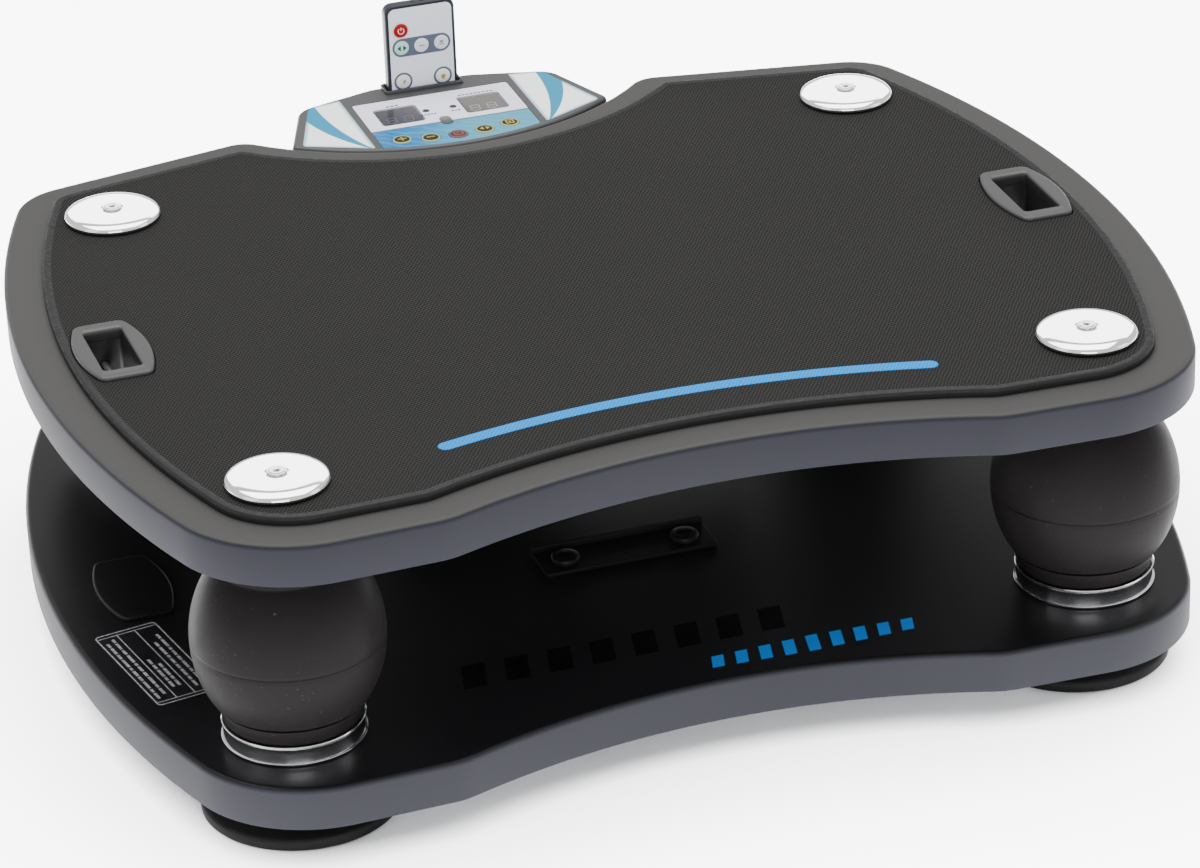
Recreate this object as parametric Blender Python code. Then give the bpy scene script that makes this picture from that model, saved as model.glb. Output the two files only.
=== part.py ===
"""Vibration plate: a deck on four rubber bulbs over a base, driven by an unbalance motor.

Sizes are in millimetres in this file and become metres where a mesh is made.
X runs along the plate's long side, Y towards the console and Z up from the floor.
"""

import math

import bmesh
import bpy
from mathutils import Matrix, Vector

for old in list(bpy.data.objects):
    bpy.data.objects.remove(old, do_unlink=True)

MM = 0.001
GAP = 0.3

# Plate outline, right half. The front and rear middles are hollow arcs, the side is a full one.
FRONT_MID = (0, -195)
FRONT_SHOULDER = (138, -221)
FRONT_CORNER = (238, -224)
SIDE_MID = (284.5, 45)
REAR_CORNER = (241, 218.5)
REAR_PEAK = (113, 244)
REAR_MID = (0, 193)
CORNER_RADII = (40, 65, 34, 17)
BASE_REAR_RADIUS = 160
MAT_INSET = 20
STRIPE_ENDS, STRIPE_MID, STRIPE_HALF_W = ((-121, -157.5), (122.5, -163.4)), (1, -144.6), 4

# Heights of the stack, from the floor.
FOOT_H = 21.2
FOOT_PROFILE = ((0, 0), (47.5, 0), (49, 1.5), (49, 5), (47.5, 6.5), (39, 7.5), (37, FOOT_H), (0, FOOT_H))
BASE_LOW, BASE_TOP = 21.0, 43.2
DECK_LOW, DECK_TOP = 150.8, 172.5
PAN_LOW, PAN_TOP = 153.0, 155.0
MAT_LOW, MAT_TOP = DECK_TOP + GAP, 177.0
WALL = 3.0
ROOF = 3.0

# The four supports stand at the corners of one rectangle.
SUPPORT_X, SUPPORT_Y = 205, 163
FOOT_X, FOOT_Y = 202, 156
RING_R, RING_BORE, RING_TOP, RING_EDGE = 34.8, 30.0, 53.3, 0.8
BULB_R, BULB_HALF_H, BULB_MID = 47.0, 54.0, 97.0
BULB_COLLAR_R, BULB_COLLAR_FLARE, BULB_COLLAR_H = 33.6, 1.8, 9.2
CAP_R, CAP_LOW, CAP_TOP = 25.0, MAT_TOP + GAP, 182.0
SCREW_R, SCREW_HEAD_R = 3.0, 5.0
SCREW_HOLE_R = 3.4
SCREW_LOW, SCREW_RECESS_R = 140, 1.8

# Strap anchors, one at each side of the deck.
ANCHOR_X, ANCHOR_Y, ANCHOR_TOP = 243.5, 4, 178.6
ANCHOR_HALF_W, ANCHOR_END_W, ANCHOR_HALF_L = 18.8, 12.5, 32
SLOT_HALF_W, SLOT_HALF_L = 9.8, 23
SLEEVE_WALL, SLEEVE_LOW = 2.0, 149.0
STRAP_BAR_R, STRAP_BAR_Z = 2.5, 159
COVER_H = 2

# Bracket on the base, between the front supports: a pad, a lip along its rear and two bosses.
BRACKET_HALF_W, BRACKET_FRONT, BRACKET_REAR, BRACKET_H = 46, -64, -36, 2
LIP_D, LIP_H = 4, 5
BOSS_X, BOSS_Y, BOSS_R, BOSS_EDGE = 32, -52, 7.5, 1.5

# Unbalance motor under the deck, its shaft along X.
MOTOR_Y, MOTOR_Z = 40, 108
MOTOR_R, MOTOR_BORE, MOTOR_HALF_L = 38.0, 34.3, 92
SHAFT_R, SHAFT_HALF_L = 6.0, 89
CORE_R, CORE_HALF_L = 19.0, 35
BEARING_X, BEARING_W = 60, 10
WEIGHT_X, WEIGHT_W, WEIGHT_R, HUB_R = 78, 16, 30, 12
SADDLE_HALF_W, SADDLE_HALF_D, SADDLE_RISE = 50, 46, 4

# Console on its column behind the deck's rear hollow.
NOTCH_GAP = 5.0
POD_TOP, POD_H, POD_ROOF = 170.7, 26, 4.0
POD_CORNER, POD_REAR, POD_MID = (90, 229.5), (73, 277.5), (28, 290.5)
POD_RADII = (2, 14, 30)
POD_REAR_DRAW = (0.9, 0.8)
POD_WALL, POD_EDGE = 2.5, 1.5
COLUMN_HALF_W, COLUMN_FRONT, COLUMN_REAR = 52, 213, 254
PANEL_HALF_W, PANEL_REAR, PANEL_MARGIN = 44.5, 270.5, 3.0
PANEL_RECESS = 1.5
WINDOW_X, WINDOW_Y, WINDOW_W, WINDOW_D = 24.0, 248, 22.5, 21.5
MODULE_HALF_W, MODULE_HALF_D, MODULE_RISE = 38, 14, 12
KEY_R, KEY_CLEARANCE, KEY_PROUD = 5.2, 0.4, 0.4
KEY_MID_X, KEY_ARC_Y, KEY_ARC_RISE, KEY_STEP = -1.5, 210.5, 4.5, 15.3
BOARD_HALF_W, BOARD_Y, BOARD_Z = 42, (222, 223.6), (55, 135)

# Mains inlet and power rocker in the column's rear wall: half widths and half heights.
INLET_X, ROCKER_X, SOCKET_Z = -22, 24, 72
INLET_OPENING, ROCKER_OPENING = (14, 10.3), (9.8, 7.2)
INLET_BODY, INLET_FLANGE, INLET_CAVITY = (13.5, 9.8), (16, 12.5), (11.5, 7.5)
INLET_DEPTH, FLANGE_H, CAVITY_DEPTH = 20, 3, 14
ROCKER_SIDE = ((-3, -5), (-3, 5), (4, 6), (3, 0), (4, -6))
ROCKER_HALF_W, ROCKER_IN, ROCKER_REST = 9, 3, -8

# Card remote in the pocket at the console's rear edge.
REMOTE_W, REMOTE_D, REMOTE_H = 40, 7, 86
REMOTE_Y, REMOTE_LOW = 284.5, 135
HOLDER_HALF_W, HOLDER_HALF_D = 22.3, 7
HOLDER_LOW, HOLDER_TOP = 131.5, 172.4
POCKET_HALF_W, POCKET_HALF_D = 20.8, 4.5
REMOTE_KEY_R, REMOTE_CORNER_R = 4.1, 4
REMOTE_KEYS = {
    "remote_key_power": (-11.4, 206.2),
    "remote_key_left": (-11.4, 196),
    "remote_key_middle": (0, 196),
    "remote_key_right": (11.4, 196),
    "remote_key_lower_left": (-11.4, 176),
    "remote_key_lower_right": (11.4, 176),
}
ROUND = 24

# ---------------------------------------------------------------- outlines


def unit(x, y):
    length = math.hypot(x, y)
    return x / length, y / length


def circle_through(a, b, c):
    """Centre and radius of the circle through three points."""
    d = 2 * (a[0] * (b[1] - c[1]) + b[0] * (c[1] - a[1]) + c[0] * (a[1] - b[1]))
    aa, bb, cc = (p[0] ** 2 + p[1] ** 2 for p in (a, b, c))
    x = (aa * (b[1] - c[1]) + bb * (c[1] - a[1]) + cc * (a[1] - b[1])) / d
    y = (aa * (c[0] - b[0]) + bb * (a[0] - c[0]) + cc * (b[0] - a[0])) / d
    return (x, y), math.hypot(a[0] - x, a[1] - y)


class ArcEdge:
    """A round stretch of the outline. side is 1 where the plate is inside the circle."""

    def __init__(self, centre, radius, side):
        self.centre, self.radius, self.side = centre, radius, side

    def inset(self, by):
        return ArcEdge(self.centre, self.radius - self.side * by, self.side)

    def foot(self, point):
        ux, uy = unit(point[0] - self.centre[0], point[1] - self.centre[1])
        return self.centre[0] + self.radius * ux, self.centre[1] + self.radius * uy


class LineEdge:
    """A straight stretch of the outline, run with the plate on its left."""

    def __init__(self, start, end):
        self.start = start
        self.along = unit(end[0] - start[0], end[1] - start[1])

    def inset(self, by):
        ux, uy = self.along
        start = (self.start[0] - uy * by, self.start[1] + ux * by)
        return LineEdge(start, (start[0] + ux, start[1] + uy))

    def foot(self, point):
        ux, uy = self.along
        t = (point[0] - self.start[0]) * ux + (point[1] - self.start[1]) * uy
        return self.start[0] + t * ux, self.start[1] + t * uy


def meet(line, arc, near):
    """The crossing of a line and a circle that lies nearest to a point."""
    foot = line.foot(arc.centre)
    reach = arc.radius**2 - math.dist(foot, arc.centre) ** 2
    t = math.sqrt(max(reach, 0))
    ends = [(foot[0] + s * t * line.along[0], foot[1] + s * t * line.along[1]) for s in (1, -1)]
    return min(ends, key=lambda end: math.dist(end, near))


def arc_points(centre, start, end, count):
    """count points from start, and not end, round centre the short way."""
    a = math.atan2(start[1] - centre[1], start[0] - centre[0])
    b = math.atan2(end[1] - centre[1], end[0] - centre[0])
    turn = (b - a + math.pi) % (2 * math.pi) - math.pi
    r = math.dist(start, centre)
    angles = [a + turn * i / count for i in range(count)]
    return [(centre[0] + r * math.cos(t), centre[1] + r * math.sin(t)) for t in angles]


def plate_outline(inset=0, notched=True):
    """The plate's outline moved inwards, counter-clockwise, with the same count of points each time."""
    sag = FRONT_MID[1] - FRONT_SHOULDER[1]
    front_r = (FRONT_SHOULDER[0] ** 2 + sag**2) / (2 * sag)
    front = ArcEdge((0, FRONT_MID[1] - front_r), front_r, -1)
    shoulder = LineEdge(FRONT_SHOULDER, FRONT_CORNER)
    centre, radius = circle_through(FRONT_CORNER, SIDE_MID, REAR_CORNER)
    side = ArcEdge(centre, radius, 1)
    slope = LineEdge(REAR_CORNER, REAR_PEAK)
    rise = REAR_PEAK[1] - REAR_MID[1]
    rear_r = (REAR_PEAK[0] ** 2 + rise**2) / (2 * rise)
    rear = ArcEdge((0, REAR_MID[1] + rear_r), rear_r, -1)
    corners = [
        (shoulder, front, FRONT_SHOULDER, CORNER_RADII[0], 3),
        (shoulder, side, FRONT_CORNER, CORNER_RADII[1], 7),
        (slope, side, REAR_CORNER, CORNER_RADII[2], 5),
        (slope, rear, REAR_PEAK, CORNER_RADII[3], 5),
    ]
    if not notched:
        corners.pop()
    fillets = []
    for line, arc, near, r, count in corners:
        r = max(r - inset, 2)
        middle = meet(line.inset(inset + r), arc.inset(inset + r), near)
        ends = [edge.inset(inset).foot(middle) for edge in (line, arc)]
        fillets.append((middle, ends, count))
    (shoulder_c, (shoulder_b, shoulder_a), n0), (corner_c, corner_ends, n1) = fillets[:2]
    rear_c, (rear_b, rear_a), n2 = fillets[2]
    half = arc_points(front.centre, (0, FRONT_MID[1] + inset), shoulder_a, 8)
    half += arc_points(shoulder_c, shoulder_a, shoulder_b, n0)
    half += arc_points(corner_c, *corner_ends, n1)
    half += arc_points(side.centre, corner_ends[1], rear_a, 14)
    half += arc_points(rear_c, rear_a, rear_b, n2)
    if notched:
        peak_c, (peak_a, peak_b), n3 = fillets[3]
        half += arc_points(peak_c, peak_a, peak_b, n3)
        half += arc_points(rear.centre, peak_b, (0, REAR_MID[1] - inset), 7)
        half.append((0, REAR_MID[1] - inset))
    else:
        line = slope.inset(inset)
        r = BASE_REAR_RADIUS - inset
        nx, ny = -line.along[1], line.along[0]
        t = -(line.start[0] + nx * r) / line.along[0]
        top_c = (0, line.start[1] + ny * r + t * line.along[1])
        half.append(rear_b)
        half += arc_points(top_c, line.foot(top_c), (0, top_c[1] + r), 4)
        half.append((0, top_c[1] + r))
    return half + [(-x, y) for x, y in half[-2:0:-1]]


def rounded(corners, count=4):
    """A polygon whose corners (x, y, radius) are turned into arcs."""
    out = []
    for i, (x, y, r) in enumerate(corners):
        if not r:
            out.append((x, y))
            continue
        ax, ay = unit(corners[i - 1][0] - x, corners[i - 1][1] - y)
        after = corners[(i + 1) % len(corners)]
        bx, by = unit(after[0] - x, after[1] - y)
        half = math.acos(max(-1, min(1, ax * bx + ay * by))) / 2
        reach = r / math.tan(half)
        mx, my = unit(ax + bx, ay + by)
        centre = (x + mx * r / math.sin(half), y + my * r / math.sin(half))
        start, end = (x + ax * reach, y + ay * reach), (x + bx * reach, y + by * reach)
        out += arc_points(centre, start, end, count) + [end]
    return out


def rect(half_w, half_d, r=0, x=0, y=0):
    """A rectangle round (x, y), its corners turned with radius r."""
    signs = ((-1, -1), (1, -1), (1, 1), (-1, 1))
    return rounded([(x + sx * half_w, y + sy * half_d, r) for sx, sy in signs], 3)


def barrel(half_w, end_w, half_l, x=0, y=0, r=5):
    """The strap anchor's outline: short straight ends and long bowed sides."""
    centre, _ = circle_through((end_w, -half_l), (half_w, 0), (end_w, half_l))
    side = arc_points(centre, (end_w, -half_l), (end_w, half_l), 8)[1:]
    corners = [(end_w, -half_l, r)] + [(px, py, 0) for px, py in side] + [(end_w, half_l, r)]
    corners += [(-end_w, half_l, r)] + [(-px, py, 0) for px, py in reversed(side)]
    corners += [(-end_w, -half_l, r)]
    return [(px + x, py + y) for px, py in rounded(corners, 3)]


def front_arc(half_w, gap, count):
    """Points of the deck's rear hollow moved back by gap, between two mirrored places in X."""
    rise = REAR_PEAK[1] - REAR_MID[1]
    rear_r = (REAR_PEAK[0] ** 2 + rise**2) / (2 * rise)
    centre = (0, REAR_MID[1] + rear_r)
    r = rear_r - gap
    depth = centre[1] - math.sqrt(r**2 - half_w**2)
    return arc_points(centre, (-half_w, depth), (half_w, depth), count) + [(half_w, depth)]


def pod_outline(inset=0):
    """The console from above: its front follows the deck's rear hollow at an even gap."""
    start, *front, end = front_arc(POD_CORNER[0] - inset, NOTCH_GAP + inset, 10)
    draw_x, draw_y = POD_REAR_DRAW
    half = [(*end, POD_RADII[0])]
    half.append((POD_REAR[0] - inset * draw_x, POD_REAR[1] - inset * draw_y, POD_RADII[1]))
    half.append((POD_MID[0], POD_MID[1] - inset, POD_RADII[2]))
    corners = [(*start, POD_RADII[0])] + [(x, y, 0) for x, y in front] + half
    return rounded(corners + [(-x, y, r) for x, y, r in half[:0:-1]])


def panel_outline(grow=0):
    """The printed panel from above: straight rear and sides, and the console's hollow front."""
    half_w = PANEL_HALF_W + grow
    front = front_arc(half_w, NOTCH_GAP + PANEL_MARGIN - grow, 8)
    return front + [(half_w, PANEL_REAR + grow), (-half_w, PANEL_REAR + grow)]


# ---------------------------------------------------------------- objects

MATERIALS = {
    "deck_grey": ((0.21, 0.20, 0.195), 0.42, 0.0),
    "base_black": ((0.035, 0.035, 0.04), 0.28, 0.0),
    "mat_rubber": ((0.045, 0.043, 0.042), 0.85, 0.0),
    "sky_blue": ((0.09, 0.42, 0.75), 0.6, 0.0),
    "bulb_rubber": ((0.035, 0.03, 0.03), 0.55, 0.0),
    "foot_rubber": ((0.02, 0.02, 0.02), 0.7, 0.0),
    "chrome": ((0.8, 0.8, 0.82), 0.08, 1.0),
    "steel": ((0.55, 0.55, 0.57), 0.3, 1.0),
    "zinc_plate": ((0.42, 0.43, 0.45), 0.45, 1.0),
    "console_grey": ((0.16, 0.16, 0.17), 0.4, 0.0),
    "panel_white": ((0.7, 0.72, 0.75), 0.3, 0.0),
    "window_smoke": ((0.08, 0.08, 0.1), 0.15, 0.0),
    "key_olive": ((0.10, 0.09, 0.05), 0.4, 0.0),
    "key_red": ((0.35, 0.06, 0.05), 0.4, 0.0),
    "remote_white": ((0.68, 0.70, 0.76), 0.35, 0.0),
    "key_white": ((0.75, 0.76, 0.78), 0.35, 0.0),
    "black_plastic": ((0.03, 0.03, 0.03), 0.4, 0.0),
    "board_green": ((0.03, 0.16, 0.07), 0.5, 0.0),
    "cast_iron": ((0.12, 0.12, 0.13), 0.55, 1.0),
}


def material(name):
    found = bpy.data.materials.get(name)
    if found:
        return found
    colour, roughness, metallic = MATERIALS[name]
    made = bpy.data.materials.new(name)
    made.use_nodes = True
    shader = made.node_tree.nodes["Principled BSDF"]
    shader.inputs["Base Color"].default_value = (*colour, 1)
    shader.inputs["Roughness"].default_value = roughness
    shader.inputs["Metallic"].default_value = metallic
    return made


def empty(name, parent=None, at=(0, 0, 0)):
    made = bpy.data.objects.new(name, None)
    bpy.context.collection.objects.link(made)
    made.parent = parent
    made.location = Vector(at) * MM
    return made


def as_object(name, bm, slot, parent, at=(0, 0, 0), turn=None):
    """Finishes a bmesh in millimetres as an object in metres, round faces smooth."""
    if turn:
        bmesh.ops.transform(bm, matrix=turn, verts=bm.verts)
    bmesh.ops.scale(bm, vec=(MM, MM, MM), verts=bm.verts)
    bmesh.ops.recalc_face_normals(bm, faces=bm.faces)
    mesh = bpy.data.meshes.new(name)
    bm.to_mesh(mesh)
    bm.free()
    mesh.shade_smooth()
    mesh.set_sharp_from_angle(angle=math.radians(35))
    mesh.materials.append(material(slot))
    made = bpy.data.objects.new(name, mesh)
    bpy.context.collection.objects.link(made)
    made.parent = parent
    made.location = Vector(at) * MM
    return made


def loft(loops, closed_ring=False):
    """A solid through loops of equal length: capped at both ends, or joined last to first."""
    bm = bmesh.new()
    rows = [[bm.verts.new(p) for p in loop] for loop in loops]
    pairs = list(zip(rows, rows[1:]))
    if closed_ring:
        pairs.append((rows[-1], rows[0]))
    for low, high in pairs:
        for i in range(len(low)):
            j = (i + 1) % len(low)
            bm.faces.new((low[i], low[j], high[j], high[i]))
    if not closed_ring:
        bm.faces.new(rows[0][::-1])
        bm.faces.new(rows[-1])
    return bm


def level(outline, z):
    return [(x, y, z) for x, y in outline]


def prism(outline, low, high):
    return loft([level(outline, low), level(outline, high)])


def shell(outline_at, low, top, wall, roof, edge):
    """An open-bottomed cover. outline_at(inset) gives its outline, edge is its top rounding."""
    loops = [level(outline_at(wall), top - roof), level(outline_at(wall), low)]
    loops += [level(outline_at(0), low), level(outline_at(0), top - edge)]
    loops += [level(outline_at(edge * 0.3), top - edge * 0.3), level(outline_at(edge), top)]
    return loft(loops)


def lathe(profile, segments=ROUND, ring=False):
    """Turns (radius, z) points round Z. A ring's profile is closed and keeps off the axis."""
    bm = bmesh.new()
    rows = []
    for r, z in profile:
        if r == 0:
            rows.append([bm.verts.new((0, 0, z))])
            continue
        angles = [2 * math.pi * i / segments for i in range(segments)]
        rows.append([bm.verts.new((r * math.cos(a), r * math.sin(a), z)) for a in angles])
    pairs = list(zip(rows, rows[1:]))
    if ring:
        pairs.append((rows[-1], rows[0]))
    for low, high in pairs:
        for i in range(segments):
            j = (i + 1) % segments
            corners = [low[i % len(low)], low[j % len(low)], high[j % len(high)], high[i % len(high)]]
            corners = list(dict.fromkeys(corners))
            if len(corners) > 2:
                bm.faces.new(corners)
    return bm


def disc(radius, low, high, chamfer=0.0, segments=ROUND):
    """A round plate, its top edge chamfered."""
    profile = [(0, low), (radius, low), (radius, high - chamfer)]
    if chamfer:
        profile.append((radius - chamfer, high))
    return lathe(profile + [(0, high)], segments)


def tube(outer, bore, low, high, chamfer=0.0, segments=ROUND):
    profile = [(bore, low), (outer, low), (outer, high - chamfer)]
    if chamfer:
        profile.append((outer - chamfer, high))
    return lathe(profile + [(bore, high)], segments, ring=True)


def block(x, y, z, radius=0.0):
    """A box from (low, high) pairs, its upright edges rounded."""
    middle = ((x[0] + x[1]) / 2, (y[0] + y[1]) / 2)
    outline = rect((x[1] - x[0]) / 2, (y[1] - y[0]) / 2, radius, *middle)
    return prism(outline, *z)


ALONG_X = Matrix.Rotation(math.radians(90), 4, "Y")
ALONG_Y = Matrix.Rotation(math.radians(90), 4, "X")


def boolean(target, bm, operation="DIFFERENCE", at=(0, 0, 0), turn=None):
    """Cuts a bmesh from an object, or joins it on, through a hidden helper beside it."""
    helper = as_object(target.name + "_helper", bm, "steel", target.parent, at, turn)
    helper.hide_render = True
    helper.display_type = "WIRE"
    modifier = target.modifiers.new(operation.lower(), "BOOLEAN")
    modifier.operation = operation
    modifier.object = helper
    return target


def four_corners(x, y):
    """The names and places of the four supports."""
    for fy, depth in ((-1, "front"), (1, "rear")):
        for fx, hand in ((-1, "left"), (1, "right")):
            yield f"{depth}_{hand}", fx * x, fy * y


HANDS = ((-1, "left"), (1, "right"))
front_edge = min(y for _, y in plate_outline())
rear_edge = REMOTE_Y + HOLDER_HALF_D
machine = empty("machine", at=(0, -(front_edge + rear_edge) / 2, 0))
base = empty("base", machine)
deck = empty("deck", machine)

# ---------------------------------------------------------------- base


def base_outline(inset):
    return plate_outline(inset, notched=False)


def make_base():
    """The lower shell, its bottom cover and the four feet."""
    bm = shell(base_outline, BASE_LOW, BASE_TOP, WALL, ROOF, 3)
    as_object("base_shell", bm, "base_black", base)
    bm = prism(base_outline(WALL + 0.4), BASE_LOW + 0.5, BASE_LOW + 2.5)
    as_object("base_bottom_cover", bm, "zinc_plate", base)
    for place, x, y in four_corners(FOOT_X, FOOT_Y):
        as_object("foot_" + place, lathe(FOOT_PROFILE), "foot_rubber", base, (x, y, 0))


def make_base_fittings():
    """The centre bracket, and the blank covers below the strap anchors."""
    low = BASE_TOP + GAP
    width, inside = (-BRACKET_HALF_W, BRACKET_HALF_W), low + BRACKET_H / 2
    pad = block(width, (BRACKET_FRONT, BRACKET_REAR), (low, low + BRACKET_H), 2)
    bracket = as_object("centre_bracket", pad, "base_black", base)
    boolean(bracket, block(width, (BRACKET_REAR - LIP_D, BRACKET_REAR), (inside, low + LIP_H)), "UNION")
    for side, _ in HANDS:
        boss = disc(BOSS_R, inside, low + LIP_H, BOSS_EDGE, 16)
        boolean(bracket, boss, "UNION", (side * BOSS_X, BOSS_Y, 0))
    for side, hand in HANDS:
        outline = barrel(ANCHOR_HALF_W, ANCHOR_END_W, ANCHOR_HALF_L, side * ANCHOR_X, ANCHOR_Y)
        as_object("slot_cover_" + hand, prism(outline, low, low + COVER_H), "base_black", base)


def bulb_profile():
    """A bulb: a stem in the ring, a collar on it, the round belly and an upper collar."""
    stem_r = RING_BORE - GAP
    stem_low = BASE_TOP + GAP
    collar_low = RING_TOP + GAP
    lower = collar_low + BULB_COLLAR_H
    upper = 2 * BULB_MID - lower
    points = [(0, stem_low), (stem_r, stem_low), (stem_r, collar_low)]
    points += [(BULB_COLLAR_R, collar_low), (BULB_COLLAR_R + BULB_COLLAR_FLARE, lower - 0.5)]
    for i in range(9):
        z = lower + 0.5 + (upper - lower - 1) * i / 8
        r = BULB_R * math.sqrt(1 - ((z - BULB_MID) / BULB_HALF_H) ** 2)
        points.append((r, z))
    points += [(BULB_COLLAR_R - 1, upper), (BULB_COLLAR_R - 1, PAN_LOW - GAP)]
    points += [(SCREW_HOLE_R, PAN_LOW - GAP), (SCREW_HOLE_R, 133), (0, 133)]
    return points


def make_supports():
    """A steel ring and a rubber bulb at each corner."""
    low = BASE_TOP + GAP
    ring = [(RING_BORE, low), (RING_R - RING_EDGE, low), (RING_R, low + RING_EDGE)]
    ring += [(RING_R, RING_TOP - RING_EDGE), (RING_R - RING_EDGE, RING_TOP), (RING_BORE, RING_TOP)]
    for place, x, y in four_corners(SUPPORT_X, SUPPORT_Y):
        as_object("bulb_ring_" + place, lathe(ring, ring=True), "chrome", base, (x, y, 0))
        as_object("bulb_" + place, lathe(bulb_profile()), "bulb_rubber", base, (x, y, 0))


# ---------------------------------------------------------------- console


def socket_block(half, near, far):
    """A box about the socket's own middle: half its width and height, and its depth in Y."""
    return block((-half[0], half[0]), (near, far), (-half[1], half[1]))


def make_column():
    """The hollow post behind the deck, with the mains inlet and the rocker in its rear wall."""
    middle = (COLUMN_FRONT + COLUMN_REAR) / 2
    half_d = (COLUMN_REAR - COLUMN_FRONT) / 2
    low, high = BASE_TOP + GAP, POD_TOP - POD_H - GAP
    outer = rect(COLUMN_HALF_W, half_d, 10, 0, middle)
    inner = rect(COLUMN_HALF_W - WALL, half_d - WALL, 7, 0, middle)
    bm = loft([level(outer, low), level(outer, high), level(inner, high), level(inner, low)], True)
    column = as_object("console_column", bm, "console_grey", base)
    wall = (COLUMN_REAR - 6, COLUMN_REAR + 2)
    for x, (half_w, half_h) in ((INLET_X, INLET_OPENING), (ROCKER_X, ROCKER_OPENING)):
        opening = block((x - half_w, x + half_w), wall, (SOCKET_Z - half_h, SOCKET_Z + half_h))
        boolean(column, opening)
    board = block((-BOARD_HALF_W, BOARD_HALF_W), BOARD_Y, BOARD_Z)
    as_object("control_board", board, "board_green", base)
    place = (INLET_X, COLUMN_REAR, SOCKET_Z)
    inlet = as_object("mains_inlet", socket_block(INLET_BODY, -INLET_DEPTH, 1), "black_plastic", base, place)
    boolean(inlet, socket_block(INLET_FLANGE, GAP, FLANGE_H), "UNION", place)
    boolean(inlet, socket_block(INLET_CAVITY, -CAVITY_DEPTH, FLANGE_H + 1), "DIFFERENCE", place)


def make_rocker():
    """The power rocker on its own cross axis, resting on its off side."""
    pivot = empty("power_rocker_axis", base, (ROCKER_X, COLUMN_REAR - ROCKER_IN, SOCKET_Z))
    loops = [[(x, y, z) for y, z in ROCKER_SIDE] for x in (-ROCKER_HALF_W, ROCKER_HALF_W)]
    rocker = as_object("power_rocker", loft(loops), "black_plastic", pivot)
    rocker.rotation_euler.x = math.radians(ROCKER_REST)


def key_places():
    """The five console keys stand on a shallow arc."""
    names = ("plus", "minus", "power", "mode", "program")
    for i, name in enumerate(names):
        step = i - 2
        yield name, KEY_MID_X + step * KEY_STEP, KEY_ARC_Y + KEY_ARC_RISE * (step / 2) ** 2


def make_pod():
    """The console housing, its printed panel, the display behind it and the five keys."""
    low = POD_TOP - POD_H
    bm = shell(pod_outline, low, POD_TOP, POD_WALL, POD_ROOF, POD_EDGE)
    pod = as_object("console_housing", bm, "console_grey", base)
    boolean(pod, prism(panel_outline(GAP), POD_TOP - PANEL_RECESS, POD_TOP + 2))
    bm = prism(panel_outline(), POD_TOP - PANEL_RECESS + GAP, POD_TOP - 0.2)
    panel = as_object("console_panel", bm, "panel_white", base)
    holder = rect(HOLDER_HALF_W + GAP, HOLDER_HALF_D + GAP, 0, 0, REMOTE_Y)
    boolean(pod, prism(holder, low - 2, POD_TOP + 2))
    roof_low = POD_TOP - POD_ROOF
    depth = (WINDOW_Y - MODULE_HALF_D, WINDOW_Y + MODULE_HALF_D)
    back = block((-MODULE_HALF_W, MODULE_HALF_W), depth, (low + MODULE_RISE, roof_low - GAP))
    display = as_object("display_module", back, "window_smoke", base)
    for side, _ in HANDS:
        x = side * WINDOW_X
        half = WINDOW_W / 2
        window = ((x - half, x + half), (WINDOW_Y - WINDOW_D / 2, WINDOW_Y + WINDOW_D / 2))
        boolean(display, block(*window, (roof_low - 2, POD_TOP - 0.5)), "UNION")
        opening = [(a - GAP, b + GAP) for a, b in window]
        for cut in (pod, panel):
            boolean(cut, block(*opening, (roof_low - 2, POD_TOP + 2)))
    for name, x, y in key_places():
        slot = "key_red" if name == "power" else "key_olive"
        key = disc(KEY_R, roof_low - 1, POD_TOP + KEY_PROUD, KEY_PROUD, 16)
        as_object("console_key_" + name, key, slot, base, (x, y, 0))
        for cut in (pod, panel):
            boolean(cut, disc(KEY_R + KEY_CLEARANCE, roof_low - 2, POD_TOP + 2, 0, 16), "DIFFERENCE", (x, y, 0))


def make_remote():
    """The holder pocket, the card remote standing in it and the remote's six keys."""
    outer = rect(HOLDER_HALF_W, HOLDER_HALF_D, 2, 0, REMOTE_Y)
    holder = as_object("remote_holder", prism(outer, HOLDER_LOW, HOLDER_TOP), "black_plastic", base)
    pocket = rect(POCKET_HALF_W, POCKET_HALF_D, 0, 0, REMOTE_Y)
    boolean(holder, prism(pocket, REMOTE_LOW - GAP, HOLDER_TOP + 2))
    seat = empty("remote", base, (0, REMOTE_Y, 0))
    # The card stands on edge, so its outline is drawn flat and then turned up.
    upright = Matrix.Translation((0, 0, REMOTE_LOW + REMOTE_H / 2)) @ ALONG_Y
    card = prism(rect(REMOTE_W / 2, REMOTE_H / 2, REMOTE_CORNER_R), -REMOTE_D / 2, REMOTE_D / 2)
    case = as_object("remote_case", card, "remote_white", seat, turn=upright)
    face = REMOTE_D / 2
    for name, (x, z) in REMOTE_KEYS.items():
        slot = "key_red" if name.endswith("power") else "key_white"
        key = disc(REMOTE_KEY_R, face - 1.8, face + KEY_PROUD, 0.3, 16)
        as_object(name, key, slot, seat, (x, 0, z), ALONG_Y)
        pit = disc(REMOTE_KEY_R + KEY_CLEARANCE, face - 2.6, face + 2, 0, 16)
        boolean(case, pit, "DIFFERENCE", (x, 0, z), ALONG_Y)


# ---------------------------------------------------------------- deck


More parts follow.
